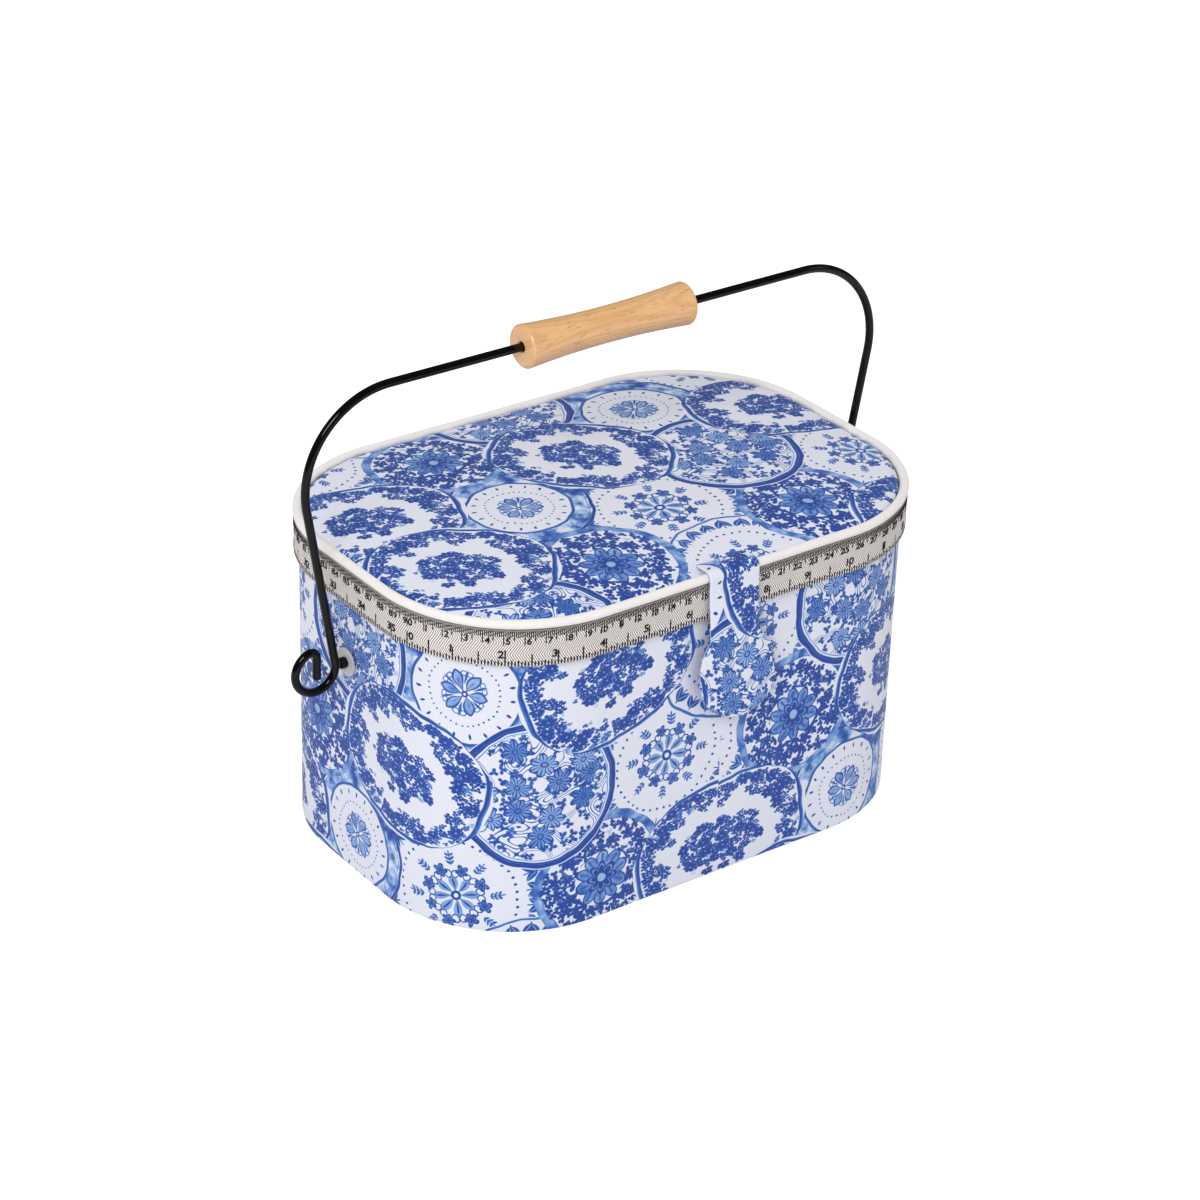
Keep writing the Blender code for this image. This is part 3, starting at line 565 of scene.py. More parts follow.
class Finish:
    """A material in the making: its tree, its shader and where a pattern is read from."""

    def __init__(self, name, roughness, metallic=0.0, sheen=0.0, coat=0.0, specular=0.5):
        self.material = bpy.data.materials.new(name)
        self.material.use_nodes = True
        self.tree = self.material.node_tree
        self.shader = self.tree.nodes["Principled BSDF"]
        for name, value in (("Roughness", roughness), ("Metallic", metallic),
                            ("Specular IOR Level", specular), ("Coat Weight", coat),
                            ("Coat Roughness", 0.12), ("Sheen Weight", sheen), ("Sheen Roughness", 0.45)):
            self.shader.inputs[name].default_value = value

    def object_place(self):
        """The place in the piece, in metres."""
        return new_value(self.tree, "ShaderNodeTexCoord", output="Object")

    def cloth_place(self):
        """The place on the cloth, in metres along and up it."""
        return new_value(self.tree, "ShaderNodeUVMap", uv_map=cloth_map)

    def graded(self, value, *stops):
        """Colours along a value, from (place, colour) stops."""
        node = new_node(self.tree, "ShaderNodeValToRGB", {0: value})
        ramp = node.color_ramp
        while len(ramp.elements) < len(stops):
            ramp.elements.new(0.5)
        for element, (place, colour) in zip(ramp.elements, stops):
            element.position = place
            element.color = (*colour, 1.0)
        return Field(self.tree, node.outputs[0])

    def paint(self, colour):
        feed(self.tree, self.shader.inputs["Base Color"], colour)

    def shade(self, value, *stops):
        """Paints with colours along a value."""
        self.paint(self.graded(value, *stops))

    def grain(self, place, scale, detail=2.0, roughness=0.5):
        """Soft random values in space, about one half."""
        return cloud(self.tree, place, scale, detail, roughness, "3D")

    def rough(self, value):
        feed(self.tree, self.shader.inputs["Roughness"], value)

    def bump(self, height, depth, strength=1.0):
        """Raises the surface by a height between 0 and 1, times a depth in metres."""
        raised = new_value(self.tree, "ShaderNodeBump", {
            "Strength": strength, "Distance": depth, "Height": height})
        feed(self.tree, self.shader.inputs["Normal"], raised)


def weave(place, tree, thread):
    """Plain weave: over and under threads of the given pitch."""
    u, v, _ = split(tree, place)
    across = (u * (pi / thread)).math("SINE")
    along = (v * (pi / thread)).math("SINE")
    return across * along * 0.5 + 0.5


def darker(colour, share):
    """The colour with a share of its light."""
    return tuple(value * share for value in colour)


def printed_cotton(name, settings, group, offset, turn=0.0):
    """Cotton with the medallion print, laid with an offset on the cloth."""
    finish = Finish(name, 0.62, sheen=0.12, specular=0.35)
    place = finish.cloth_place()
    laid = new_value(finish.tree, "ShaderNodeMapping", {
        "Vector": place, "Location": (*offset, 0.0), "Rotation": (0.0, 0.0, turn)})
    tone = new_value(finish.tree, "ShaderNodeGroup", {0: laid}, node_tree=group)
    ground, light = settings.ground, settings.light
    threads = weave(place, finish.tree, settings.thread)
    toned = tone + (threads - 0.5) * 0.03
    finish.shade(toned, (0.0, ground), (0.10, ground), (0.32, light),
                 (0.58, settings.middle), (0.86, settings.deep))
    slack = cloud(finish.tree, place, 38.0) * 0.8
    finish.bump(threads * 0.12 + slack, 0.0007, 0.35)
    return finish.material


def plain_cloth(name, colour, thread, sheen=0.2, soil=0.06, mapped=True):
    """Plain woven cloth, slightly uneven in colour."""
    finish = Finish(name, 0.82, sheen=sheen, specular=0.3)
    place = finish.cloth_place() if mapped else finish.object_place()
    threads = weave(place, finish.tree, thread)
    uneven = cloud(finish.tree, place, 60.0, 3.0) * 0.7 + threads * 0.3
    finish.shade(uneven, (0.2, darker(colour, 1.0 - 2 * soil)), (0.7, colour))
    finish.bump(threads, 0.00012, 0.5)
    return finish.material


def dotted_lining(name, settings):
    """Pale cotton with small printed dots in staggered rows."""
    finish = Finish(name, 0.82, sheen=0.2, specular=0.3)
    place = finish.cloth_place()
    u, v, _ = split(finish.tree, place)
    pitch, half, dot = 0.012, 0.006, 0.0010
    rows = [radius_of(x.wrapped(pitch), y.wrapped(pitch)).below(dot, 0.00015)
            for x, y in ((u, v), (u + half, v + half))]
    threads = weave(place, finish.tree, 0.0006)
    tone = highest(*rows) * 0.8 + threads * 0.08
    finish.shade(tone, (0.0, settings.lining), (0.12, settings.lining), (0.8, settings.lining_dot))
    finish.bump(threads, 0.00015, 0.5)
    return finish.material


def twill_tape(name, settings):
    """Herringbone twill in three rows, with the dark threads showing as fine diagonals."""
    finish = Finish(name, 0.8, sheen=0.15, specular=0.3)
    place = finish.cloth_place()
    u, v, _ = split(finish.tree, place)
    climb = (v.wrapped(2 * settings.twill_band)).math("ABSOLUTE")
    ribs = ((u + climb * 0.62).wrapped(settings.twill_pitch) / settings.twill_pitch).math("ABSOLUTE") * 2.0
    lines = ribs.below(0.38, 0.14)
    fibres = cloud(finish.tree, place, 900.0) * 0.5 + cloud(finish.tree, place, 80.0) * 0.3
    selvedge = v.below(0.0011, 0.0002) * 0.5
    # Painted shade: the tape's top edge under the piping is darkened as the piping's shadow, with some soil
    # along the seam.
    seam = v.above(0.0182, 0.0006) * 0.4
    tone = lines * (0.68 - selvedge) + fibres * 0.24 + seam
    finish.shade(tone, (0.05, settings.cloth), (0.85, settings.line))
    finish.bump(ribs * 0.8 + fibres * 0.2, 0.00022, 0.7)
    return finish.material


def printed_ink(name, colour):
    """Slightly worn printing ink."""
    finish = Finish(name, 0.7, specular=0.2)
    worn = finish.grain(finish.object_place(), 900.0)
    finish.shade(worn, (0.3, colour), (0.75, tuple(value + 0.02 for value in colour)))
    return finish.material


def gloss_coat(name, colour):
    """Thick black powder coat with a slight orange peel."""
    finish = Finish(name, 0.12, specular=0.25)
    place = finish.object_place()
    peel = finish.grain(place, 700.0)
    finish.shade(peel, (0.3, colour), (0.8, tuple(value * 1.6 for value in colour)))
    finish.rough(peel * 0.06 + 0.05)
    finish.bump(peel, 0.00004, 0.2)
    return finish.material


def metal(name, colour, roughness):
    """Plated metal with fine marks and slight tarnish."""
    finish = Finish(name, roughness, metallic=1.0)
    place = finish.object_place()
    marks = finish.grain(place, 900.0, 3.0)
    tarnish = finish.grain(place, 90.0)
    finish.shade(tarnish, (0.3, darker(colour, 0.78)), (0.7, colour))
    finish.rough(marks * 0.2 + (roughness - 0.08))
    finish.bump(marks, 0.00004, 0.4)
    return finish.material


def moulded_plastic(name, colour, roughness, clear=0.0):
    """Moulded plastic with a fine satin grain."""
    finish = Finish(name, roughness, specular=0.45)
    finish.shader.inputs["Transmission Weight"].default_value = clear
    place = finish.object_place()
    grain = finish.grain(place, 1400.0)
    flow = finish.grain(place, 45.0)
    finish.shade(flow, (0.25, darker(colour, 0.94)), (0.75, colour))
    finish.rough(grain * 0.18 + (roughness - 0.09))
    finish.bump(grain, 0.00003, 0.5)
    return finish.material


def raw_card(name, colour):
    """Grey-brown card with fibres and flecks."""
    finish = Finish(name, 0.92, specular=0.2)
    place = finish.object_place()
    fibres = finish.grain(place, 700.0, 4.0, 0.7)
    flecks = finish.grain(place, 2600.0, 1.0)
    tone = fibres * 0.7 + flecks * 0.3
    finish.shade(tone, (0.34, darker(colour, 0.66)), (0.5, colour), (0.72, darker(colour, 1.2)))
    finish.bump(fibres, 0.0001, 0.4)
    return finish.material


def turned_wood(name, settings):
    """Light hardwood along the grip: long grain lines with short dark pores, and rings at the ends."""
    finish = Finish(name, 0.34, coat=0.3, specular=0.5)
    tree = finish.tree
    place = finish.object_place()
    x, y, z = split(tree, place)
    bend = cloud(tree, joined(tree, x * 6.0, y * 40.0, z * 40.0), 1.0, 2.0, dimensions="3D")
    heart_y, heart_z = y - (grip_middle.y + 0.090), z - (grip_middle.z - 0.070)
    rings = (radius_of(heart_y, heart_z) + bend * 0.0030 + x * 0.008) / settings.grain_pitch
    grain = (rings * tau).math("SINE") * 0.5 + 0.5
    fibres = cloud(tree, joined(tree, x * 16.0, y * 700.0, z * 700.0), 1.0, 3.0, 0.6, "3D")
    pores = cloud(tree, joined(tree, x * 170.0, y * 1500.0, z * 1500.0), 1.0, 1.0, 0.5, "3D")
    fleck = pores.above(0.66, 0.03)
    tone = grain.math("POWER", 2.0) * 0.22 + fibres * 0.52 + bend * 0.16
    base = finish.graded(tone, (0.12, settings.wood), (0.42, darker(settings.wood, 0.90)),
                         (0.85, settings.wood_dark))
    fleck_colour = finish.graded(fibres, (0.2, settings.fleck), (0.9, darker(settings.fleck, 0.7)))
    finish.paint(blended(tree, "RGBA", fleck * 0.5, base, fleck_colour))
    finish.rough(fibres * 0.14 + fleck * 0.2 + 0.2)
    finish.bump(fibres * 0.4 - fleck * 0.6, 0.00009, 0.5)
    return finish.material


# Shapes

class Outline:
    """The basket's rounded outline in plan at an inset, anticlockwise from the middle of the front."""

    steps = (16, 24, 12, 24, 32, 24, 12, 24, 16)

    def __init__(self, inset):
        self.radius = corner_radius - inset
        self.flat_x = half_width - corner_radius
        self.flat_y = half_depth - corner_radius
        bend, side = quarter_turn * self.radius, 2 * self.flat_y
        self.lengths = (self.flat_x, bend, side, bend, 2 * self.flat_x, bend, side, bend, self.flat_x)
        self.girth = sum(self.lengths)

    def spot(self, piece, share):
        """The place, and the direction outwards, at a share of one of its nine straight or round pieces."""
        if piece % 2:
            side_x, side_y = ((1, -1), (1, 1), (-1, 1), (-1, -1))[piece // 2]
            turn = quarter_turn * (piece // 2 - 1 + share)
            normal = Vector((cos(turn), sin(turn), 0.0))
            return Vector((side_x * self.flat_x, side_y * self.flat_y, 0.0)) + normal * self.radius, normal
        normal = Vector(((0, -1, 0), (1, 0, 0), (0, 1, 0), (-1, 0, 0), (0, -1, 0))[piece // 2])
        half, reach = (self.flat_x, self.flat_y) if piece % 4 == 0 else (self.flat_y, self.flat_x)
        start = 0.0 if piece == 0 else -half
        end = 0.0 if piece == 8 else half
        tangent = Vector((-normal.y, normal.x, 0.0))
        return normal * (reach + self.radius) + tangent * (start + (end - start) * share), normal

    def along(self, piece, share):
        """The length from the front's middle to a share of a piece."""
        return sum(self.lengths[:piece]) + self.lengths[piece] * share

    def at(self, length):
        """The place and the outward direction at a length along."""
        rest = length % self.girth
        for piece, size in enumerate(self.lengths):
            if rest <= size:
                return self.spot(piece, rest / size)
            rest -= size
        return self.spot(*seam_station)


stations = [(piece, step / count) for piece, count in enumerate(Outline.steps) for step in range(count)]
seam_station = (8, 1.0)


def clamped(value, low=0.0, high=1.0):
    """The value, kept between two limits."""
    return min(max(value, low), high)


def spread(low, high, count):
    """Evenly spaced values or places from low to high, over a count of steps."""
    return [low + (high - low) * step / count for step in range(count + 1)]


def caps(rows):
    """The middles of the first and the last row of points."""
    return [sum(row, Vector()) / len(row) for row in (rows[0], rows[-1])]


def circle(heart, first, second, radius, count):
    """Points evenly round a heart, in the plane of two directions."""
    turns = [tau * step / count for step in range(count)]
    return [heart + (first * cos(turn) + second * sin(turn)) * radius for turn in turns]


def link(name, data, *materials):
    """An object of the data, with its materials, in the scene."""
    for material in materials:
        data.materials.append(material)
    piece = bpy.data.objects.new(name, data)
    bpy.context.collection.objects.link(piece)
    return piece


def shell(name, points, faces, material, maps=None, sharp=radians(40)):
    """A closed piece from points and faces, with its faces outwards, and a cloth map if one is given."""
    mesh = bpy.data.meshes.new(name)
    mesh.from_pydata([tuple(point) for point in points], [], faces)
    if maps is not None:
        layer = mesh.uv_layers.new(name=cloth_map)
        layer.data.foreach_set("uv", [value for corner in maps for value in corner])
    shape = bmesh.new()
    shape.from_mesh(mesh)
    bmesh.ops.remove_doubles(shape, verts=shape.verts, dist=0.000002)
    bmesh.ops.recalc_face_normals(shape, faces=shape.faces)
    shape.to_mesh(mesh)
    shape.free()
    mesh.shade_smooth()
    mesh.set_sharp_from_angle(angle=sharp)
    return link(name, mesh, material)


def grid(name, rows, material, ups=None, alongs=None, closed=False, ends=(None, None), plan=False):
    """A skin over rings of points, all of one count. Closed joins the last ring to the first, and the two
    ends are points that close the first and the last ring. The cloth map follows the lengths up the rings and
    along them, or lies flat in plan."""
    count = len(rows[0])
    points = [Vector(point) for row in rows for point in row]
    faces, maps = [], []
    for row in range(len(rows) if closed else len(rows) - 1):
        near, far = row * count, (row + 1) % len(rows) * count
        for step in range(count):
            after = (step + 1) % count
            faces.append((near + step, near + after, far + after, far + step))
            if ups is not None:
                left, right = alongs[step], alongs[step + 1]
                maps += [(left, ups[row]), (right, ups[row]), (right, ups[row + 1]), (left, ups[row + 1])]
    for end, row in zip(ends, (0, len(rows) - 1)):
        if end is None:
            continue
        points.append(Vector(end))
        for step in range(count):
            faces.append((row * count + step, row * count + (step + 1) % count, len(points) - 1))
            if ups is not None:
                left, right = alongs[step], alongs[step + 1]
                maps += [(left, ups[row]), (right, ups[row]), ((left + right) / 2, ups[row])]
    if plan:
        maps = [(points[corner].x, points[corner].y) for face in faces for corner in face]
    return shell(name, points, faces, material, maps or None)


def running_lengths(places):
    """The length along a row of places, from zero."""
    lengths = [0.0]
    for place, after in zip(places, places[1:]):
        lengths.append(lengths[-1] + math.dist(place, after))
    return lengths


def outline_row(inset, height, stray=0.0):
    """Points round the basket at an inset and a height; stray is how far they wander in and out."""
    line = Outline(inset)
    row = []
    for piece, share in stations:
        place, normal = line.spot(piece, share)
        place.z = height
        row.append(place + normal * noise.noise(place * 26.0) * stray)
    return row


def band(name, section, material, start=0.0, stray=0.0):
    """A closed band round the basket, from a section of (inset, height) places."""
    rows = [outline_row(inset, height, stray) for inset, height in section]
    line = Outline(section[0][0])
    alongs = [line.along(piece, share) for piece, share in (*stations, seam_station)]
    ups = [start + length for length in running_lengths([*section, section[0]])]
    return grid(name, rows, material, ups, alongs, closed=True)


def arc(middle, radius, start, sweep, steps):
    """Places along an arc in a plane, from a start angle."""
    turns = [start + sweep * step / steps for step in range(steps + 1)]
    return [(middle[0] + radius * cos(turn), middle[1] + radius * sin(turn)) for turn in turns]


def quarter(middle, radius, start, steps=4):
    """A quarter circle in a band's section, from a start angle, turning clockwise."""
    return arc(middle, radius, start, -quarter_turn, steps)


def flat_section(inset, deep, low, high, edge, rows=1):
    """The section of a flat band: up its outer face and down its inner one, with rounded edges."""
    outer, inner, bottom, top = inset + edge, inset + deep - edge, low + edge, high - edge
    section = quarter((outer, bottom), edge, 3 * quarter_turn)
    section += [(inset, height) for height in spread(bottom, top, rows)[1:-1]]
    section += quarter((outer, top), edge, 2 * quarter_turn)
    section += quarter((inner, top), edge, quarter_turn)
    return section + quarter((inner, bottom), edge, 0.0)


def slab(name, inset, low, high, edge, material):
    """A flat plate of the basket's outline with a rounded rim; its cloth map lies flat."""
    section = [(inset + deep, low) for deep in (0.060, 0.036, 0.012)]
    section += quarter((inset + edge, low + edge), edge, 3 * quarter_turn)
    section += quarter((inset + edge, high - edge), edge, 2 * quarter_turn)
    section += [(inset + deep, high) for deep in (0.012, 0.036, 0.060)]
    rows = [outline_row(place, height) for place, height in section]
    return grid(name, rows, material, ends=((0, 0, low), (0, 0, high)), plan=True)


def tube(name, path, across, radius, sides, material, closed=False):
    """A round tube along a path in one plane, with across square to it; closed, or cut off at both ends."""
    count = len(path)
    rows = []
    for step, place in enumerate(path):
        before = path[step - 1] if closed or step else place
        after = path[(step + 1) % count] if closed or step + 1 < count else place
        rows.append(circle(place, (after - before).normalized().cross(across), across, radius, sides))
    if closed:
        alongs = [tau * radius * side / sides for side in range(sides + 1)]
        ups = running_lengths([*path, path[0]])
        return grid(name, rows, material, ups, alongs, closed=True)
    for row, end, inner in ((rows[0], path[0], path[1]), (rows[-1], path[-1], path[-2])):
        out = (end - inner).normalized()
        domed = [[end + (point - end) * share + out * radius * lift for point in row]
                 for share, lift in ((0.94, 0.10), (0.80, 0.15))]
        rows = domed[::-1] + rows if row is rows[0] else rows + domed
    return grid(name, rows, material, ends=caps(rows))


def turned(name, profile, middle, material, sides=64, bored=False, along=Vector((1, 0, 0))):
    """A turned piece from (length along, radius) places; a bored one joins the last place to the first."""
    side = along.orthogonal().normalized()
    rows = [circle(middle + along * length, side, along.cross(side), radius, sides)
            for length, radius in profile]
    ends = (None, None) if bored else (middle + along * profile[0][0], middle + along * profile[-1][0])
    return grid(name, rows, material, closed=bored, ends=ends)


def bevelled(corners, radius, steps=3):
    """A turned profile with each of its corners rounded; a closed profile of (length, radius) places."""
    places = [Vector(corner) for corner in corners]
    smooth = []
    for step, place in enumerate(places):
        before, after = places[step - 1], places[(step + 1) % len(places)]
        reach = min(radius, (before - place).length * 0.45, (after - place).length * 0.45)
        start = place + (before - place).normalized() * reach
        end = place + (after - place).normalized() * reach
        for number in range(steps + 1):
            share = number / steps
            smooth.append(start * (1 - share) ** 2 + place * 2 * share * (1 - share) + end * share ** 2)
    return [tuple(place) for place in smooth]


def bored_through(piece, radius):
    """Bores the piece along the bail's pivot line."""
    reach = half_width + 0.02
    cutter = turned("pivot_bore", ((-reach, radius), (reach, radius)), pivot_place, None, 48)
    modifier = piece.modifiers.new("bore", "BOOLEAN")
    modifier.object = cutter
    modifier.solver = "EXACT"
    baked(piece)
    bpy.data.objects.remove(cutter)
    return piece


def as_shown(piece):
    """The piece with its modifiers at work."""
    return piece.evaluated_get(bpy.context.evaluated_depsgraph_get())


def baked(piece):
    """Turns what the piece's modifiers make into its plain mesh."""
    mesh = bpy.data.meshes.new_from_object(as_shown(piece))
    piece.modifiers.clear()
    mesh.name = piece.name
    piece.data = mesh
    return piece


swell_frames = 20


def puffed(piece, pressure, reach, held):
    """Swells a closed piece by cloth simulation. Held says which points stay; none moves beyond the reach."""
    pinned = piece.vertex_groups.new(name="held")
    pinned.add([vertex.index for vertex in piece.data.vertices if held(vertex.co)], 1.0, "REPLACE")
    modifier = piece.modifiers.new("swell", "CLOTH")
    cloth = modifier.settings
    cloth.quality = 6
    cloth.mass = 0.2
    cloth.use_pressure = True
    cloth.uniform_pressure_force = pressure
    cloth.vertex_group_mass = pinned.name
    cloth.effector_weights.gravity = 0.0
    modifier.point_cache.frame_end = swell_frames
    for number in range(1, swell_frames + 1):
        bpy.context.scene.frame_set(number)
    places = [vertex.co.copy() for vertex in as_shown(piece).data.vertices]
    piece.modifiers.clear()
    piece.vertex_groups.clear()
    for vertex, place in zip(piece.data.vertices, places):
        shift = place - vertex.co
        vertex.co += shift * min(1.0, reach / max(shift.length, 1e-9))
    bpy.context.scene.frame_set(1)
    return piece


def settled(piece, body, slot, *nodes):
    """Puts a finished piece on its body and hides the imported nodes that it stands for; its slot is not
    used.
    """
    if nodes:
        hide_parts(*nodes)
    if body:
        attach(piece, body)
    return piece


# Geometry nodes

bar_inputs = (
    ("Count", "NodeSocketInt", 10),
    ("First", "NodeSocketFloat", 0.0),
    ("Pitch", "NodeSocketFloat", 0.001),
    ("Number", "NodeSocketInt", 0),
    ("Middle every", "NodeSocketInt", 5),
    ("Long every", "NodeSocketInt", 10),
    ("Short", "NodeSocketFloat", 0.003),
    ("Even extra", "NodeSocketFloat", 0.0),
    ("Middle", "NodeSocketFloat", 0.005),
    ("Long", "NodeSocketFloat", 0.007),
    ("Side", "NodeSocketFloat", 1.0),
    ("Width", "NodeSocketFloat", 0.0003),
    ("Thickness", "NodeSocketFloat", 0.00008),
    ("Rounded", "NodeSocketBool", False),
)


def placed_bars():
    """A geometry node tree: small bars in a row along a curve, every so many of them longer."""
    tree = bpy.data.node_groups.new("placed_bars", "GeometryNodeTree")
    face = tree.interface
    face.new_socket("Geometry", in_out="INPUT", socket_type="NodeSocketGeometry")
    for name, kind, default in bar_inputs:
        face.new_socket(name, in_out="INPUT", socket_type=kind).default_value = default
    face.new_socket("Finish", in_out="INPUT", socket_type="NodeSocketMaterial")
    face.new_socket("Geometry", in_out="OUTPUT", socket_type="NodeSocketGeometry")
    entry = new_node(tree, "NodeGroupInput")
    given = {socket.name: Field(tree, socket) for socket in entry.outputs if socket.name}
    line = new_value(tree, "GeometryNodeMeshToCurve", {0: given["Geometry"]})
    points = new_value(tree, "GeometryNodePoints", {"Count": given["Count"]})
    index = new_value(tree, "GeometryNodeInputIndex")
    sample = new_node(tree, "GeometryNodeSampleCurve", {
        "Curves": line, "Length": given["First"] + index * given["Pitch"]},
        mode="LENGTH", use_all_curves=True)
    number = index + given["Number"]
    even = 1.0 - number.math("FLOORED_MODULO", 2.0)
    middle, whole = (number.math("FLOORED_MODULO", given[every]).math("LESS_THAN", 0.5)
                     for every in ("Middle every", "Long every"))
    reach = even * given["Even extra"] + given["Short"]
    reach = given["Long"].over(given["Middle"].over(reach, middle), whole)
    wander = new_node(tree, "FunctionNodeRandomValue", {"Min": 0.88, "Max": 1.10, "Seed": 4},
                      data_type="FLOAT")
    reach = reach * Field(tree, next(output for output in wander.outputs if output.enabled))
    moved = new_value(tree, "GeometryNodeSetPosition", {
        "Geometry": points, "Position": Field(tree, sample.outputs["Position"]),
        "Offset": joined(tree, 0.0, 0.0, reach * given["Side"] * 0.5)})
    turn = new_value(tree, "FunctionNodeAlignRotationToVector", {
        "Vector": Field(tree, sample.outputs["Tangent"])}, axis="X", pivot_axis="Z")
    block = new_value(tree, "GeometryNodeMeshCube")
    bead = new_value(tree, "GeometryNodeMeshUVSphere", {"Segments": 8, "Rings": 6, "Radius": 0.5})
    shape = new_value(tree, "GeometryNodeSwitch", {
        "Switch": given["Rounded"], "False": block, "True": bead}, input_type="GEOMETRY")
    copies = new_value(tree, "GeometryNodeInstanceOnPoints", {
        "Points": moved, "Instance": shape, "Rotation": turn,
        "Scale": joined(tree, given["Width"], given["Thickness"], reach)})
    real = new_value(tree, "GeometryNodeRealizeInstances", {0: copies})
    finished = new_value(tree, "GeometryNodeSetMaterial", {"Geometry": real, "Material": given["Finish"]})
    new_node(tree, "NodeGroupOutput", {0: finished})
    return tree


def bars(name, tree, line, material, **values):
    """Runs the tree along a line of places and bakes what it makes."""
    mesh = bpy.data.meshes.new(name)
    edges = [(step, step + 1) for step in range(len(line) - 1)]
    mesh.from_pydata([tuple(place) for place in line], edges, [])
    piece = link(name, mesh)
    modifier = piece.modifiers.new("row", "NODES")
    modifier.node_group = tree
    keys = {item.name: item.identifier for item in tree.interface.items_tree if item.in_out == "INPUT"}
    for title, value in {**values, "Finish": material}.items():
        modifier[keys[title.replace("_", " ")]] = value
    return painted(baked(piece), material)


def painted(piece, material):
    """The piece with this one material all over."""
    piece.data.materials.clear()
    piece.data.materials.append(material)
    for face in piece.data.polygons:
        face.material_index = 0
    return piece


def united(name, pieces, material):
    """One object of several baked ones."""
    shape = bmesh.new()
    for piece in pieces:
        shape.from_mesh(piece.data)
        bpy.data.objects.remove(piece)
    mesh = bpy.data.meshes.new(name)
    shape.to_mesh(mesh)
    shape.free()
    return painted(link(name, mesh), material)


# Pieces

# Where each cut of printed cloth is laid on the print: its offset in metres and its turn.
print_places = {
    "print_box": ((0.0, 0.0), 0.0),
    "print_lid": ((0.13, 0.05), 0.5),
    "print_tab": ((0.190, 0.060), 0.0),
    "print_pocket": ((0.02, 0.16), 0.2),
}

shared = {}


def finish_of(name):
    """The finish of this name, or the print's node group, made once for all the pieces."""
    if name not in shared:
        shared[name] = new_finish(name, bpy.context.scene.basket)
    return shared[name]


def new_finish(name, basket):
    prints, tape, trim, bail = basket.prints, basket.tape, basket.trim, basket.bail
    if name == "print":
        return print_group(prints)
    if name in print_places:
        return printed_cotton(name, prints, finish_of("print"), *print_places[name])
    makers = {
        "tape_twill": (twill_tape, tape),
        "tape_ink": (printed_ink, tape.ink),
        "piping_cloth": (plain_cloth, trim.piping, 0.0005, 0.35, 0.03),
        "lining_cotton": (dotted_lining, trim),
        "plain_cotton": (plain_cloth, trim.lining, 0.0006),
        "satin_ribbon": (plain_cloth, trim.ribbon, 0.0007, 0.5, 0.03, False),
        "cushion_cotton": (plain_cloth, trim.cushion, 0.0006, 0.3, 0.08, False),
        "raw_card": (raw_card, trim.card),
        "tray_plastic": (moulded_plastic, trim.tray, 0.42),
        "thread": (plain_cloth, trim.ribbon, 0.0003, 0.3, 0.05, False),
        "black_coat": (gloss_coat, bail.coat),
        "milky_plastic": (moulded_plastic, bail.washer, 0.35, 0.35),
        "bright_steel": (metal, screen_colour("c9cbce"), 0.3),
        "bright_brass": (metal, screen_colour("d8b25f"), 0.28),
        "turned_wood": (turned_wood, bail),
    }
    maker, *values = makers[name]
    return maker(name, *values)


class BasketOperator(bpy.types.Operator):
    """What every step of the making has in common."""
    bl_options = {"REGISTER", "UNDO"}


class BASKET_OT_box_cloth(BasketOperator):
    """Stretches the printed cloth over the box, with its turned hem and its lapped seam at the back"""
    bl_idname = "basket.box_cloth"
    bl_label = "Box Cloth"

    def execute(self, context):
        cotton, foot, top = finish_of("print_box"), cover_low.z, cover_high.z
        cloth, hem, fold, bore, stray = 0.0006, 0.0031, 0.0011, 0.0034, 0.00022
        section = quarter((cloth / 2, foot + cloth / 2), cloth / 2, 3 * quarter_turn, 3)
        section += [(0.0, height) for height in spread(foot, top, 36)[1:-1]]
        section += quarter((fold, top - fold), fold, 2 * quarter_turn, 5)
        section += quarter((hem - cloth / 2, top - cloth / 2), cloth / 2, quarter_turn, 3)
        section += quarter((hem - cloth / 2, top - cloth / 2), cloth / 2, 0.0, 3)
        section += [(cloth * 1.6, top - cloth), (cloth, top - cloth * 1.6), (cloth, foot + cloth / 2)]
        skin = band("box_cloth", section, cotton, foot, stray)
        bored_through(skin, bore)
        girth = Outline(0.0).girth
        settled(skin, "box", "printed_cloth", "outer_cover")
        start, levels, short, print_start = Outline(0.0).along(5, 0.2), 30, 0.0004, 0.3
        lap_round = [(-0.0001 if step in (0, 8) else -0.0004, step) for step in range(9)]
        lap_round += [(0.0001, step) for step in range(8, -1, -1)]
        rows = []
        spots = [Outline(inset).at(start + 0.0105 * step / 8)[0] for inset, step in lap_round]
        for step in range(levels + 1):
            height = foot + short + (top - foot - 2 * short) * step / levels
            rows.append([spot + Vector((0.0, 0.0, height)) for spot in spots])
        alongs = [print_start + step * 0.001 for step in range(len(lap_round) + 1)]
        lap = grid("back_lap", rows, cotton, spread(foot, top, levels), alongs, ends=caps(rows))
        settled(lap, "box", "printed_cloth")
        top - foot
        place, _ = Outline(-0.0005).at(start + 0.0012)
        line = [place + Vector((0.0, 0.0, height)) for height in spread(foot, top, 40)]
        stitch = 0.0022
        stitches = bars("back_stitches", placed_bars(), line, finish_of("thread"), Count=39,
                        First=0.003, Pitch=0.0041, Short=stitch, Middle=stitch, Long=stitch, Width=0.0004,
                        Thickness=0.0005, Rounded=True)
        settled(stitches, "box", "printed_cloth")
        return {"FINISHED"}


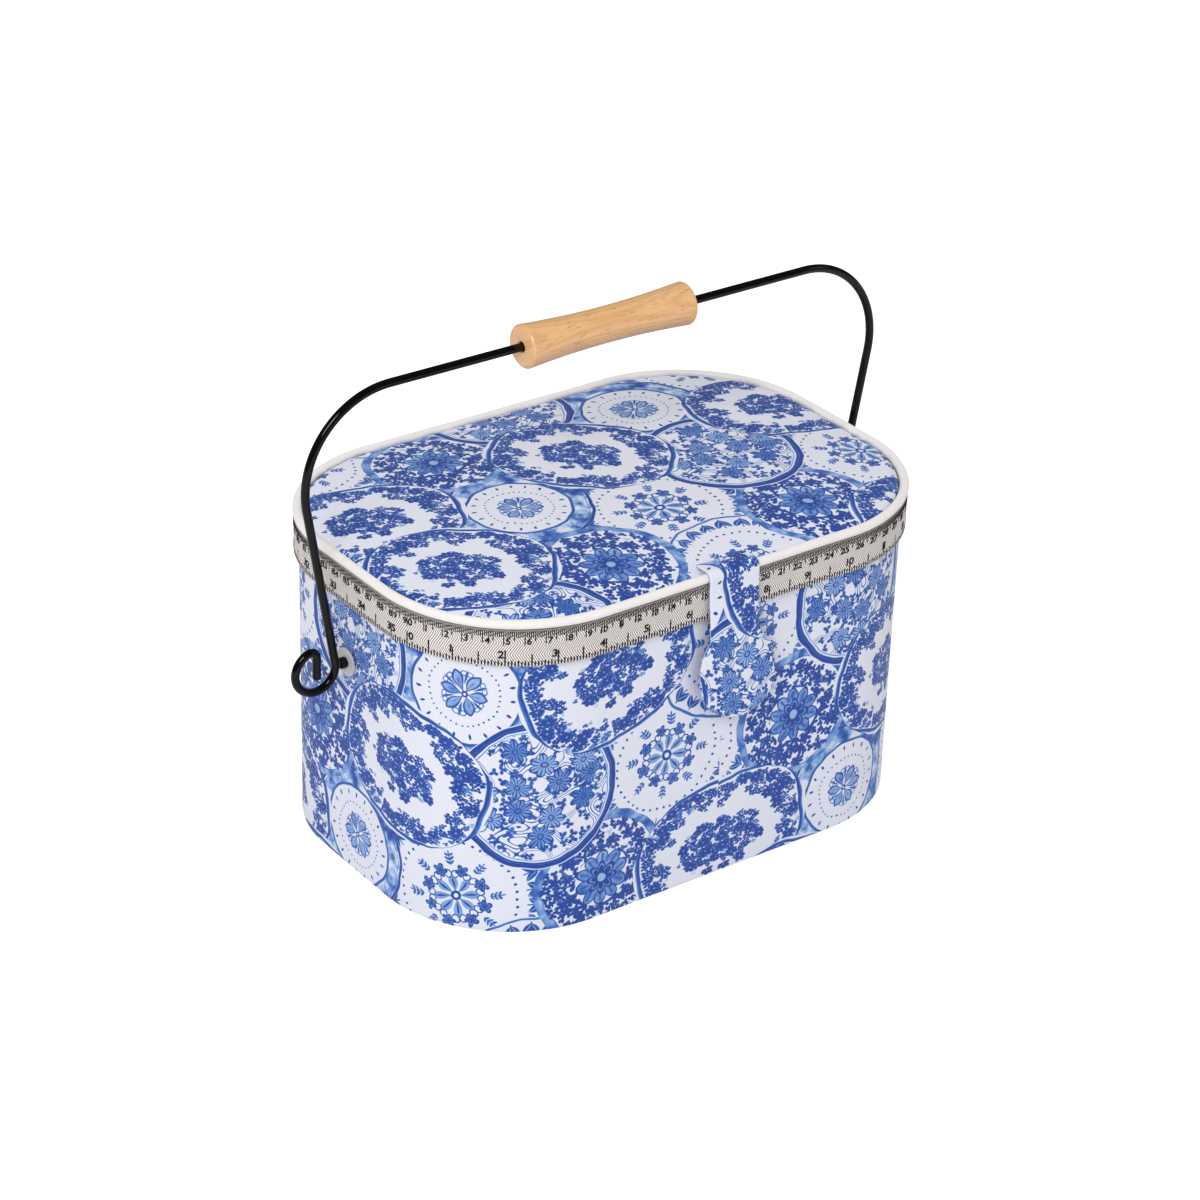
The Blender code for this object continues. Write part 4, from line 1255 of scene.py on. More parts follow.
class BASKET_OT_linings(BasketOperator):
    """Lines the wall, the ledge that carries the tray, the floor and the lid, and covers the underside"""
    bl_idname = "basket.linings"
    bl_label = "Linings"

    def execute(self, context):
        lining, bore, edge = finish_of("lining_cotton"), 0.0071, 0.45
        for node, thick in (("wall_lining", 0.0008), ("tray_ledge", 0.0022)):
            low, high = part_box(node)
            inset = half_width - high.x
            skin = band(f"{node}_cloth", flat_section(inset, thick, low.z, high.z, thick * edge, 12), lining)
            bored_through(skin, bore)
            settled(skin, "box", "lining_cloth", node)
            Outline(inset).girth
        pad, _ = flat_lining("floor_pad", "floor_cushion", "box", 0.0012, lining)
        under, high = flat_lining("underside_cloth", "underside", "box", 0.0003, finish_of("plain_cotton"))
        ceiling, high = flat_lining("lid_lining", "lid_ceiling", "lid", 0.0004, lining)
        return {"FINISHED"}


def flat_lining(node, name, body, edge, finish):
    """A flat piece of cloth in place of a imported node, and the node's upper corner."""
    low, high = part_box(node)
    piece = slab(name, half_width - high.x, low.z, high.z, edge, finish)
    return settled(piece, body, "lining_cloth", node), high


class BASKET_OT_lid_top(BasketOperator):
    """Pulls the printed cloth over the lid's padding, with small puckers where the piping holds it"""
    bl_idname = "basket.lid_top"
    bl_label = "Lid Top"

    def execute(self, context):
        base, inset = lid_low.z, half_width - lid_high.x
        edge, bulge, shoulder, middle = 0.0012, 0.0026, 0.004, 0.0645
        uneven, pucker_reach, calm = 0.00045, 0.006, 0.01
        crown = lid_high.z - base - edge - bulge
        rows = [outline_row(inset + deep, base) for deep in (0.060, 0.036, 0.012, 0.0015)]
        insets = [shoulder * (1 - cos(quarter_turn * step / 9)) for step in range(10)]
        insets += [shoulder + 0.0604 * (step / 22) ** 1.15 for step in range(1, 23)]
        girth = Outline(inset).girth
        for deep in insets:
            into = 1 - min(deep / shoulder, 1)
            swell = crown * sin(quarter_turn * deep / middle)
            row = outline_row(inset + deep, base + (edge + bulge * sqrt(1 - into * into) + swell))
            for number, place in enumerate(row):
                turn = tau * number / len(row)
                spot = Vector((cos(turn) * girth * 70.0, sin(turn) * girth * 70.0, deep * 120.0))
                place.z += noise.noise(spot) * uneven * exp(-deep / pucker_reach) * (deep > 0.0002)
                place.z += noise.noise(place * 16.0) * uneven * min(deep / calm, 1.0)
            rows.append(row)
        last = rows[-1]
        rows += [[Vector((place.x * share, place.y * share, place.z)) for place in last]
                 for share in (0.86, 0.70, 0.54, 0.38, 0.2)]
        heart = Vector((0.0, 0.0, last[0].z))
        pad = grid("lid_cushion", rows, finish_of("print_lid"), ends=((0, 0, base), heart), plan=True)
        puffed(pad, 1.2, 0.0007, lambda place: place.z < base + 0.0042)
        settled(pad, "lid", "printed_cloth", "lid_cover", "lid_pad")
        return {"FINISHED"}


class BASKET_OT_piping(BasketOperator):
    """Runs the corded piping round the lid's edge"""
    bl_idname = "basket.piping"
    bl_label = "Piping"

    def execute(self, context):
        radius = piping_radius
        line = Outline(half_width - piping_high.x + radius)
        middle = Vector((0.0, 0.0, piping_height))
        path = [line.spot(*station)[0] + middle for station in stations]
        for place in path:
            place.z += noise.noise(place * 30.0) * 0.0002
        cord = tube("corded_piping", path, Vector((0, 0, 1)), radius, 24, finish_of("piping_cloth"),
                    True)
        settled(cord, "lid", "piping_cloth", "lid_piping")
        return {"FINISHED"}


class BASKET_OT_tape(BasketOperator):
    """Lays the measuring tape round the lid's band"""
    bl_idname = "basket.tape"
    bl_label = "Measuring Tape"

    def execute(self, context):
        inset, thick, edge = tape_inset, 0.0005, 0.45
        section = flat_section(inset, thick, tape_low.z, tape_high.z, thick * edge, 14)
        tape = band("measuring_tape", section, finish_of("tape_twill"), 0.0, 0.0001)
        settled(tape, "lid", "tape", "rim_tape")
        Outline(inset).girth
        return {"FINISHED"}


def tape_line(height):
    """Places round the outside of the tape at a height, from the front's middle and back to it."""
    line = Outline(tape_inset - ink_lift)
    return [line.spot(*station)[0] + Vector((0.0, 0.0, height)) for station in (*stations, seam_station)]


def tape_length(settings, value):
    """The length from the front's middle to a value of the upper scale, in metres of scale."""
    return (value - settings.seam_value) * Outline(tape_inset).girth / tape_span


class BASKET_OT_ticks(BasketOperator):
    """Prints the ticks of both scales: millimetres at the tape's top edge, sixteenths at its foot"""
    bl_idname = "basket.ticks"
    bl_label = "Tape Ticks"

    def execute(self, context):
        tape = context.scene.basket.tape
        tree, ink, clear = placed_bars(), finish_of("tape_ink"), 0.0004
        end = tape.seam_value + tape_span
        fine, sixteenth = tape.centimetre / 10, tape.inch / 16
        top, foot = tape_line(tape_high.z - 0.0003), tape_line(tape_low.z + 0.0002)
        rows = []
        for start, stop in ((0.0, tape.repeat), (tape.repeat, end)):
            for name, pitch, line, side, sizes in (
                    ("fine", fine, top, -1.0, (0.0031, 0.0, 0.0055, 0.0074, 5, 10, 1.0)),
                    ("sixteenth", sixteenth, foot, 1.0, (0.0023, 0.0006, 0.0068, 0.0078, 8, 16, 1.35))):
                first = max(math.ceil((tape.seam_value + clear - start) / pitch), 0)
                count = int((stop - start - clear) / pitch) - first + 1
                short, even, middle, whole, middle_every, long_every, width = sizes
                rows.append(bars(f"{name}_ticks", tree, line, ink, Count=count, Number=first,
                                 First=tape_length(tape, start + first * pitch),
                                 Pitch=pitch * Outline(tape_inset).girth / tape_span,
                                 Short=short, Even_extra=even, Middle=middle, Long=whole, Side=side,
                                 Middle_every=middle_every, Long_every=long_every,
                                 Width=tape.line_width * width))
        settled(united("tape_ticks", rows, ink), "lid", "tape")
        return {"FINISHED"}


figure_depth = 0.01


def figure_meshes():
    """The ten figures, one unit high, as closed meshes with their own width."""
    figures = {}
    for figure in "0123456789":
        data = bpy.data.curves.new(f"figure_{figure}", "FONT")
        data.body = figure
        data.size = 1.0
        data.offset = 0.026
        data.extrude = figure_depth
        data.resolution_u = 4
        thing = link(data.name, data)
        mesh = bpy.data.meshes.new_from_object(as_shown(thing))
        places = [vertex.co.copy() for vertex in mesh.vertices]
        low = [min(place[side] for place in places) for side in range(3)]
        high = [max(place[side] for place in places) for side in range(3)]
        tall = high[1] - low[1]
        points = [((place.x - low[0]) / tall, (place.y - low[1]) / tall, place.z - low[2])
                  for place in places]
        faces = [tuple(face.vertices) for face in mesh.polygons]
        figures[figure] = (points, faces, (high[0] - low[0]) / tall)
        bpy.data.objects.remove(thing)
        bpy.data.meshes.remove(mesh)
    return figures


class BASKET_OT_numbers(BasketOperator):
    """Prints the numbers of both scales on the tape"""
    bl_idname = "basket.numbers"
    bl_label = "Tape Numbers"

    def execute(self, context):
        tape = context.scene.basket.tape
        figures = figure_meshes()
        end = tape.seam_value + tape_span
        points, faces = [], []
        line = Outline(tape_inset - ink_lift / 2)
        wide, slant, gap, thick, clear, end_room = 1.12, 0.05, 0.10, 0.00009, 0.0007, 0.001
        upper_foot, lower_foot = tape_high.z - 0.0073, tape_low.z + 0.0042

        def printed(number, length, foot, tall, side):
            text = str(number)
            room = clear if len(text) > 1 else gap * tall
            widths = [figures[figure][2] * wide * tall for figure in text]
            whole = sum(widths) + room * (len(text) - 1)
            length += -whole / 2 if len(text) > 1 else side * (clear + whole / 2) - whole / 2
            for figure, width in zip(text, widths):
                shape, shape_faces, _ = figures[figure]
                first = len(points)
                for x, y, z in shape:
                    place, normal = line.at(length + (x * wide + y * slant) * tall)
                    points.append(place + normal * (z / (2 * figure_depth) * thick)
                                  + Vector((0.0, 0.0, foot + y * tall)))
                faces.extend(tuple(first + corner for corner in face) for face in shape_faces)
                length += width + room

        for start, stop in ((0.0, tape.repeat), (tape.repeat, end)):
            for number in range(100):
                upper, lower = start + number * tape.centimetre, start + number * tape.inch
                shown = number if number else round(tape.repeat / tape.centimetre)
                if tape.seam_value < upper < stop and (number or start):
                    printed(shown, tape_length(tape, upper), upper_foot, tape.upper_number, 1)
                if tape.seam_value < lower < stop - end_room:
                    printed(number, tape_length(tape, lower), lower_foot, tape.lower_number,
                            -1 if number else 1)
        settled(shell("tape_numbers", points, faces, finish_of("tape_ink")), "lid", "tape")
        return {"FINISHED"}


class TabPath:
    """The line of the strap and tab in the front's middle: back to front over the piping, then down."""

    bends, drop, thick = 12, 0.024, 0.0028

    def __init__(self):
        gap = piping_low.y - tab_high.y
        front, bend = piping_low.y + piping_radius, piping_radius + gap
        inner, outer = front - piping_radius - gap, tab_low.y + self.thick
        behind = Vector((strap_high.y, lid_high.z - self.thick))
        places = spread(behind, Vector((front, piping_height + piping_radius + gap)), self.bends)[:-1]
        for step in range(self.bends + 1):
            turn = quarter_turn * (1 + step / self.bends)
            places.append(Vector((front, piping_height)) + Vector((cos(turn), sin(turn))) * bend)
        for height in spread(piping_height, tab_low.z, 189)[1:]:
            lean = self.lean(height)
            places.append(Vector((inner + (outer - inner) * lean * lean * (3 - 2 * lean), height)))
        self.places = places
        self.lengths = running_lengths(places)
        self.total = self.lengths[-1]

    def lean(self, height):
        """How far from the strap, at zero, to the full tab, at one."""
        return clamped((tab_high.z - height) / self.drop)

    def at(self, length):
        """The place at a length along, the way outwards, and how far from the strap to the full tab."""
        step = 0
        while step < len(self.places) - 2 and self.lengths[step + 1] < length:
            step += 1
        here, after = self.places[step], self.places[step + 1]
        share = (length - self.lengths[step]) / (self.lengths[step + 1] - self.lengths[step])
        spot, way = here + (after - here) * share, (after - here).normalized()
        lean = self.lean(spot.y) if step > 2 * self.bends else 0.0
        return Vector((0.0, spot.x, spot.y)), Vector((0.0, way.y, -way.x)), lean


tab_shoulder = 0.0295
tab_sway = 0.0075


def tab_outline(path, spacing):
    """The flat cut of strap and tab, as evenly spaced (across, along) places, and where its heart lies. The
    lobe is half an oval below its heart and half a squarer one above it, each with a height and a power."""
    half, lobe, seam, corner = strap_high.x, 0.0234, 0.0004, 0.0012
    foot, shoulder = (0.0225, 2.0), (tab_shoulder, 2.35)
    heart = path.total - seam - foot[0]
    last = math.acos(-((1 - (half / lobe) ** shoulder[1]) ** 0.5))
    side = []
    for step in range(121):
        turn = last * step / 120
        tall, power = foot if turn < quarter_turn else shoulder
        across = lobe * sin(turn) ** (2 / power)
        fall = tall * abs(cos(turn)) ** (2 / power)
        side.append((across, heart + math.copysign(fall, cos(turn))))
    side += [(half, corner), (half - corner, 0.0)]
    ring = side + [(-across, along) for across, along in side[:0:-1]]
    lengths = running_lengths([*ring, ring[0]])
    count = int(lengths[-1] / spacing)
    even, step = [], 0
    for number in range(count):
        wanted = lengths[-1] * number / count
        while lengths[step + 1] < wanted:
            step += 1
        share = (wanted - lengths[step]) / (lengths[step + 1] - lengths[step])
        here, after = ring[step], ring[(step + 1) % len(ring)]
        even.append((here[0] + (after[0] - here[0]) * share, here[1] + (after[1] - here[1]) * share))
    return even, heart


class BASKET_OT_tab(BasketOperator):
    """Sews the padded tab that hangs over the front, its edge puckered by the turned seam"""
    bl_idname = "basket.tab"
    bl_label = "Closing Tab"

    def execute(self, context):
        path = TabPath()
        spacing, pitch, wadding, core, edge_reach, pad_reach = 0.00055, 0.0033, 0.0012, 0.0008, 0.0009, 0.013
        stitched, pull_in, pucker_height, pucker_reach, wave_height = 0.016, 0.014, 0.00028, 0.0024, 0.00035
        ring, heart = tab_outline(path, spacing)
        count = len(ring)
        shares = (0.0, 0.012, 0.03, 0.06, 0.11, 0.18, 0.28, 0.42, 0.6, 0.8, 1.0)
        pucker = [noise.noise(Vector((number * 0.11, 3.0, 0.0))) for number in range(count)]
        rows, lays = [], []
        for side, share in [(0, share) for share in reversed(shares)] + [(1, share) for share in shares[1:]]:
            row, lay = [], []
            for number, (across, along) in enumerate(ring):
                spine = clamped(along, 0.010, heart)
                wave = sin(number * spacing * tau / pitch + 5.0 * pucker[number])
                seam = clamped((along - stitched) / 0.006)
                depth = share * math.hypot(across, along - spine)
                ripple = wave * seam * (0.55 + 0.6 * abs(pucker[number])) * exp(-depth / pucker_reach)
                pull = share - pull_in * ripple
                x, length = across * (1 - pull), along + (spine - along) * pull
                hang = max((length - heart + tab_shoulder) / (path.total - heart + tab_shoulder), 0.0)
                place, out, lean = path.at(clamped(length, 0.0, path.total))
                edge = core * sqrt(1 - (1 - min(depth / edge_reach, 1.0)) ** 2)
                fill = wadding * lean * (1 - (1 - min(depth / pad_reach, 1.0)) ** 2.2)
                rise = core + (edge + fill if side else -edge)
                rise += ripple * pucker_height * (1 if side else -0.3)
                rough = noise.noise(Vector((x, length, 0.0)) * 60.0)
                rise += rough * wave_height * seam * min(depth / 0.006, 1.0) * side
                row.append(place + Vector((x + tab_sway * hang ** 1.3, 0.0, 0.0)) + out * rise)
                lay.append((x, path.total - length) if side else (x - 0.087, path.total - length + 0.088))
            rows.append(row)
            lays.append(lay)
        faces, maps = [], []
        for level in range(len(rows) - 1):
            for step in range(count):
                corners = ((level, step), (level, (step + 1) % count),
                           (level + 1, (step + 1) % count), (level + 1, step))
                faces.append(tuple(row * count + column for row, column in corners))
                maps += [lays[row][column] for row, column in corners]
        points = [place for row in rows for place in row]
        tab = shell("tab_cloth", points, faces, finish_of("print_tab"), maps, radians(70))
        settled(tab, None, "printed_cloth", "tab_strap", "closure_tab")
        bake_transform(tab)
        return {"FINISHED"}


class BASKET_OT_hinge(BasketOperator):
    """Glues the cloth hinge across the back"""
    bl_idname = "basket.hinge"
    bl_label = "Cloth Hinge"

    def execute(self, context):
        low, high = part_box("hinge_cloth_lower")[0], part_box("hinge_cloth_upper")[1]
        columns = spread(low.x, high.x, 40)
        around = [(x, low.y) for x in columns] + [(x, high.y) for x in columns[::-1]]
        rows = [[Vector((x, y, z)) for x, y in around] for z in spread(low.z, high.z, 60)]
        ups = [row[0].z for row in rows]
        alongs = [*columns, *[high.x + column - low.x for column in columns], 2 * high.x - low.x]
        cloth = grid("hinge_cloth", rows, finish_of("plain_cotton"), ups, alongs, ends=caps(rows))
        settled(cloth, None, "lining_cloth", "hinge_cloth_lower", "hinge_cloth_upper")
        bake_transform(cloth)
        return {"FINISHED"}


halvings = 40


def folded_away(place, opening, start, stop):
    """Where a place of the taut ribbon lies while the lid is shut: turned back about the hinge by a share of
    the opening that grows from nothing at one height to all of it at another."""
    back, up = hinge_place.y - place.x, place.y - hinge_place.z
    reach, turn = math.hypot(back, up), math.atan2(up, back)
    least, most = -0.5, 0.5
    for _ in range(halvings):
        rest = (least + most) / 2
        share = clamped((hinge_place.z + reach * sin(rest) - start) / (stop - start))
        if rest + opening * share * share * (3 - 2 * share) < turn:
            least = rest
        else:
            most = rest
    return hinge_place.y - reach * cos(rest), hinge_place.z + reach * sin(rest)


class BASKET_OT_ribbons(BasketOperator):
    """Ties the stay ribbon at each end, folded away as it lies while the lid is shut"""
    bl_idname = "basket.ribbons"
    bl_label = "Stay Ribbons"

    def execute(self, context):
        opening = radians(joints["lid_hinge"]["range_deg"][1])
        heart = Vector((hinge_place.y, hinge_place.z))
        half, tuck = 0.003, 0.0005
        for side in ("left", "right"):
            low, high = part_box(f"stay_ribbon_{side}")
            start, stop = low.z + 2 * half - tuck, high.z - 2 * half + tuck
            away = Vector((low.y, high.z - half)) - heart
            box_tie = Vector((low.y, low.z + half))
            lid_tie = heart + Vector((away.x * cos(opening) + away.y * sin(opening),
                                      away.y * cos(opening) - away.x * sin(opening)))
            across = (lid_tie - box_tie).normalized().orthogonal() * half
            shares = (-1, -0.5, 0, 0.5, 1)
            around = [(low.x, share) for share in shares] + [(high.x, share) for share in shares[::-1]]
            rows = []
            for place in [box_tie.lerp(lid_tie, step / 60) for step in range(61)]:
                rows.append([Vector((x, *folded_away(place + across * share, opening, start, stop)))
                             for x, share in around])
            ribbon = grid(f"ribbon_{side}", rows, finish_of("satin_ribbon"), ends=caps(rows))
            settled(ribbon, None, "ribbon", f"stay_ribbon_{side}")
            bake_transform(ribbon)
        return {"FINISHED"}


class BASKET_OT_pincushion(BasketOperator):
    """Stuffs the pincushion under the lid, drawn in by a tuft in its middle"""
    bl_idname = "basket.pincushion"
    bl_label = "Pincushion"

    def execute(self, context):
        low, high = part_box("pincushion")
        middle, size = (low + high) / 2, (high - low) / 2
        levels, sides, tuft, crimps = 26, 72, 0.0042, 26
        rows = []
        for step in range(levels + 1):
            turn = radians(62) * (1 - step / levels) - quarter_turn * step / levels
            girth = max(cos(turn), 0.02) ** 0.62
            height = middle.z + size.z * math.copysign(abs(sin(turn)) ** 0.8, turn)
            height += tuft * exp(-((girth / 0.22) ** 2)) if turn < 0 else 0.0
            row = []
            for around in [tau * number / sides for number in range(sides)]:
                crimp = 1 + 0.012 * sin(around * crimps) * exp(-(((turn - 0.5) / 0.35) ** 2))
                row.append(Vector((middle.x + size.x * girth * crimp * cos(around),
                                   middle.y + size.y * girth * crimp * sin(around), height)))
            rows.append(row)
        cushion = grid("pin_cushion", rows, finish_of("cushion_cotton"), ends=caps(rows))
        top, heart = high.z, caps(rows)[1]
        puffed(cushion, 3.0, 0.0012, lambda place: place.z > top - 0.003 or (place - heart).length < 0.004)
        for vertex in cushion.data.vertices:
            vertex.co.z = min(vertex.co.z, top)
        settled(cushion, "lid", "cushion_cloth", "pincushion")
        profile = ((-0.0010, 0.0026), (0.0, 0.0034), (0.0009, 0.0030))
        button = turned("cushion_button", profile, heart, finish_of("print_pocket"), 24,
                        along=Vector((0, 0, 1)))
        settled(button, "lid", "cushion_cloth")
        return {"FINISHED"}


class BASKET_OT_pocket(BasketOperator):
    """Sews the flat pocket under the lid, gathered on its elastic"""
    bl_idname = "basket.pocket"
    bl_label = "Lid Pocket"

    def execute(self, context):
        low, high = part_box("lid_pocket")
        strip_low, strip_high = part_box("pocket_elastic")
        across, levels, corner_round, under_strip, cloth = 160, 26, 0.014, 0.002, 0.0002
        columns = spread(low.x, high.x, across)
        reach = high.x - corner_round
        rows = []
        for share in [step / levels for step in range(levels + 1)]:
            upper, lower = [], []
            for x in columns:
                corner = max(abs(x) - reach, 0.0)
                back = high.y - corner_round + sqrt(max(corner_round ** 2 - corner ** 2, 0.0))
                y = strip_high.y - under_strip + (back - strip_high.y + under_strip) * share
                gather = sin(x * tau / 0.0062 + 2.2 * noise.noise(Vector((x * 90.0, 1.0, 0.0))))
                fold = gather * 0.0005 * exp(-share * 4.5)
                bag = 0.0016 * sin(pi * min(share * 1.1, 1.0)) * (1 - (x / high.x) ** 4)
                lower.append(Vector((x, y, low.z + cloth - bag + fold)))
                upper.append(Vector((x, y, high.z)))
            rows.append(lower + upper[::-1])
        ups = [row[across // 2].y for row in rows]
        alongs = [*columns, *[2 * high.x + column for column in columns], 4 * high.x]
        pocket = grid("pocket_cloth", rows, finish_of("print_pocket"), ups, alongs, ends=caps(rows))
        settled(pocket, "lid", "printed_cloth", "lid_pocket")
        levels, base = 11, strip_low.z + 0.0006
        rows = []
        for x in spread(strip_low.x, strip_high.x, 220):
            wander = noise.noise(Vector((x * 70.0, 5.0, 0.0)))
            fold = 0.00045 * sin(x * tau / 0.0031 + 2.0 * wander)
            row = []
            for step, y in enumerate(spread(strip_low.y, strip_high.y, levels)):
                share = sin(pi * step / levels)
                row.append(Vector((x, y, base + fold * share - 0.0004 * share)))
            rows.append(row + [Vector((x, y, strip_high.z)) for y in (strip_high.y, strip_low.y)])
        elastic = grid("gathered_elastic", rows, finish_of("satin_ribbon"), ends=caps(rows))
        settled(elastic, "lid", "ribbon", "pocket_elastic")
        return {"FINISHED"}


class BASKET_OT_bail(BasketOperator):
    """Bends the black wire bail, with a curl at each foot"""
    bl_idname = "basket.bail"
    bl_label = "Wire Bail"

    def execute(self, context):
        bail = context.scene.basket.bail
        radius = (wire_high.y - wire_low.y) / 2
        top, foot_height = joints["grip_spin"]["pos_m"][2], pivot_place.z
        foot = wire_high.x - radius - 2 * bail.curl_radius
        rise = top - foot_height - bail.bend_radius * (1 + sin(bail.splay))
        bend = foot + rise * math.tan(bail.splay) - bail.bend_radius * cos(bail.splay)
        half = [(x, top) for x in spread(0.0, bend, 8)[:-1]]
        half += arc((bend, top - bail.bend_radius), bail.bend_radius, quarter_turn,
                    -quarter_turn - bail.splay, 36)
        middle = (foot + bail.curl_radius, foot_height)
        start = pi - bail.splay
        curl = arc(middle, bail.curl_radius, start, pi + bail.splay + bail.curl_turn, 48)
        leg = [spread(top_end, foot_end, 14)[1:-1] for top_end, foot_end in zip(half[-1], curl[0])]
        half += [*zip(*leg), *curl]
        reach = bail.curl_radius - bail.turn_radius
        inner = (middle[0] + reach * cos(bail.curl_turn), middle[1] + reach * sin(bail.curl_turn))
        half += arc(inner, bail.turn_radius, bail.curl_turn, pi - bail.curl_turn, 14)[1:]
        half += [(half[-1][0], half[-1][1] - bail.tail * step / 6) for step in range(1, 7)]
        right = [Vector((x, pivot_place.y, z)) for x, z in half]
        left = [Vector((-place.x, place.y, place.z)) for place in right[:0:-1]]
        wire = tube("bent_wire", left + right, Vector((0, 1, 0)), radius, 24, finish_of("black_coat"))
        settled(wire, "bail", "black_wire", "bail_wire")
        return {"FINISHED"}


class BASKET_OT_grip(BasketOperator):
    """Turns the wooden grip, waisted in the middle and rounded at its ends"""
    bl_idname = "basket.grip"
    bl_label = "Wooden Grip"

    def execute(self, context):
        reach = (grip_high.x - grip_low.x) / 2
        end, waist, edge, bore, worn = (grip_high.z - grip_low.z) / 2, 0.0092, 0.0018, 0.0027, 0.0004
        profile = [(-reach, bore + worn)]
        profile += [(-reach + edge - edge * sin(turn), end - edge + edge * cos(turn))
                    for turn in [quarter_turn * (1 - step / 8) for step in range(8)]]
        body = reach - edge
        profile += [(body * step / 24, waist + (end - waist) * (step / 24) ** 2) for step in range(-24, 25)]
        profile += [(reach - edge + edge * sin(turn), end - edge + edge * cos(turn))
                    for turn in [quarter_turn * step / 8 for step in range(1, 9)]]
        profile += [(reach, bore + worn), (reach - worn, bore), (-reach + worn, bore)]
        grip = turned("turned_grip", profile, grip_middle, finish_of("turned_wood"), 96, True)
        settled(grip, "grip", "wood", "wood_grip")
        return {"FINISHED"}


class BASKET_OT_pivots(BasketOperator):
    """Sets the eyelets, pins, washers and nuts that the bail turns on"""
    bl_idname = "basket.pivots"
    bl_label = "Pivots"

    def execute(self, context):
        seat = Vector((0.0, pivot_place.y, pivot_place.z))
        bore, neck, flange, shank, head = 0.0025, 0.0034, 0.0005, 0.0022, 0.0029
        for side, sign in (("left", -1), ("right", 1)):
            for node, body, slot, finish, edge, bored in (
                    ("wall_eyelet", "box", "brass", "bright_brass", 0.0003, True),
                    ("pivot_washer", "box", "clear_plastic", "milky_plastic", 0.0003, True),
                    ("pivot_nut", "box", "steel", "bright_steel", 0.0002, True),
                    ("pivot_pin", "bail", "black_wire", "black_coat", 0.0004, False)):
                low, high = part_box(f"{node}_{side}")
                near, far = sorted((abs(low.x), abs(high.x)))
                radius = (high.z - low.z) / 2
                sections = {
                    "wall_eyelet": ((near, bore), (far, bore), (far, radius), (far - flange, radius),
                                    (far - flange, neck), (near, neck)),
                    "pivot_washer": ((near, bore), (far, bore), (far, radius), (near, radius)),
                    "pivot_nut": ((near, bore), (far, bore), (far, radius), (near, radius)),
                    "pivot_pin": ((near, 0.0), (near, shank), (far - head, shank), (far - head, radius),
                                  (far, radius), (far, 0.0)),
                }
                profile = bevelled(sections[node], edge)
                if not bored:
                    profile = [place for place in profile if place[1] > 0.0001]
                profile = [(sign * length, reach) for length, reach in profile]
                piece = turned(f"{node}_{side}_turned", profile, seat, finish_of(finish), 64, bored)
                settled(piece, body, slot, f"{node}_{side}")
        return {"FINISHED"}


class BASKET_OT_frame_parts(BasketOperator):
    """Gives the boards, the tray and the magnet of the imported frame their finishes"""
    bl_idname = "basket.frame_parts"
    bl_label = "Boards, Tray and Magnet"

    def execute(self, context):
        finishes = {"base_board": "raw_card", "wall_board": "raw_card", "lid_board": "raw_card",
                    "lid_rim": "raw_card", "sewing_tray": "tray_plastic", "strike_plate": "bright_steel",
                    "tab_magnet": "bright_steel"}
        for node, finish in finishes.items():
            thing = next(thing for thing in context.scene.objects if thing.get("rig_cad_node") == node)
            thing.data.materials.clear()
            thing.data.materials.append(finish_of(finish))
        return {"FINISHED"}


class BASKET_OT_stage(BasketOperator):
    """Sets up the pale floor, the soft lamps and the camera"""
    bl_idname = "basket.stage"
    bl_label = "Stage"

    def execute(self, context):
        stage, scene = context.scene.basket.stage, context.scene
        camera = bpy.data.objects.new("Camera", bpy.data.cameras.new("Camera"))
        scene.collection.objects.link(camera)
        turn, rise = stage.azimuth, stage.elevation
        back = Vector((sin(turn) * cos(rise), -cos(turn) * cos(rise), sin(rise)))
        side = Vector((0, 0, 1)).cross(back).normalized()
        up = back.cross(side)
        axes = (side * cos(stage.roll) + up * sin(stage.roll),
                up * cos(stage.roll) - side * sin(stage.roll), back)
        camera.matrix_world = Matrix.Translation(Vector(stage.aim) + back * stage.distance) @ \
            Matrix(axes).transposed().to_4x4()
        camera.data.lens = stage.lens
        camera.data.sensor_width = 36.0
        camera.data.clip_start = 0.01
        scene.camera = camera
        for name, place, size, power in (
                ("key_lamp", Vector((-1.13, -0.82, 1.34)), 0.7, stage.key_power),
                ("fill_lamp", Vector((1.3, -0.9, 0.9)), 0.5, stage.fill_power)):
            light = bpy.data.lights.new(name, "AREA")
            light.shape = "DISK"
            light.size = size
            light.energy = power
            lamp = bpy.data.objects.new(name, light)
            scene.collection.objects.link(lamp)
            lamp.location = place
            lamp.rotation_euler = (Vector((0.0, 0.0, 0.1)) - place).to_track_quat("-Z", "Y").to_euler()
        world = bpy.data.worlds.new("studio")
        scene.world = world
        world.use_nodes = True
        tree = world.node_tree
        background, white = tree.nodes["Background"], (1.0, 1.0, 1.0, 1.0)
        background.inputs["Color"].default_value = white
        feed(tree, background.inputs["Strength"], seen_or_not(tree, stage.sky, 1.0, 0.10))
        floor = Finish("pale_floor", 0.9, specular=0.1)
        tint = cloud(floor.tree, floor.object_place(), 3.0, 2.0)
        floor.shade(tint, (0.0, darker(stage.floor, 0.99)), (1.0, stage.floor))
        floor.shader.inputs["Emission Color"].default_value = white
        feed(floor.tree, floor.shader.inputs["Emission Strength"],
             seen_or_not(floor.tree, 0.0, stage.floor_glow, 0.0))
        ground = link("floor", bpy.data.meshes.new("floor"), floor.material)
        reach = 9
        corners = [(-reach, -reach, 0), (reach, -reach, 0), (reach, reach, 0), (-reach, reach, 0)]
        ground.data.from_pydata(corners, [], [(0, 1, 2, 3)])
        scene.view_settings.view_transform = "Standard"
        return {"FINISHED"}


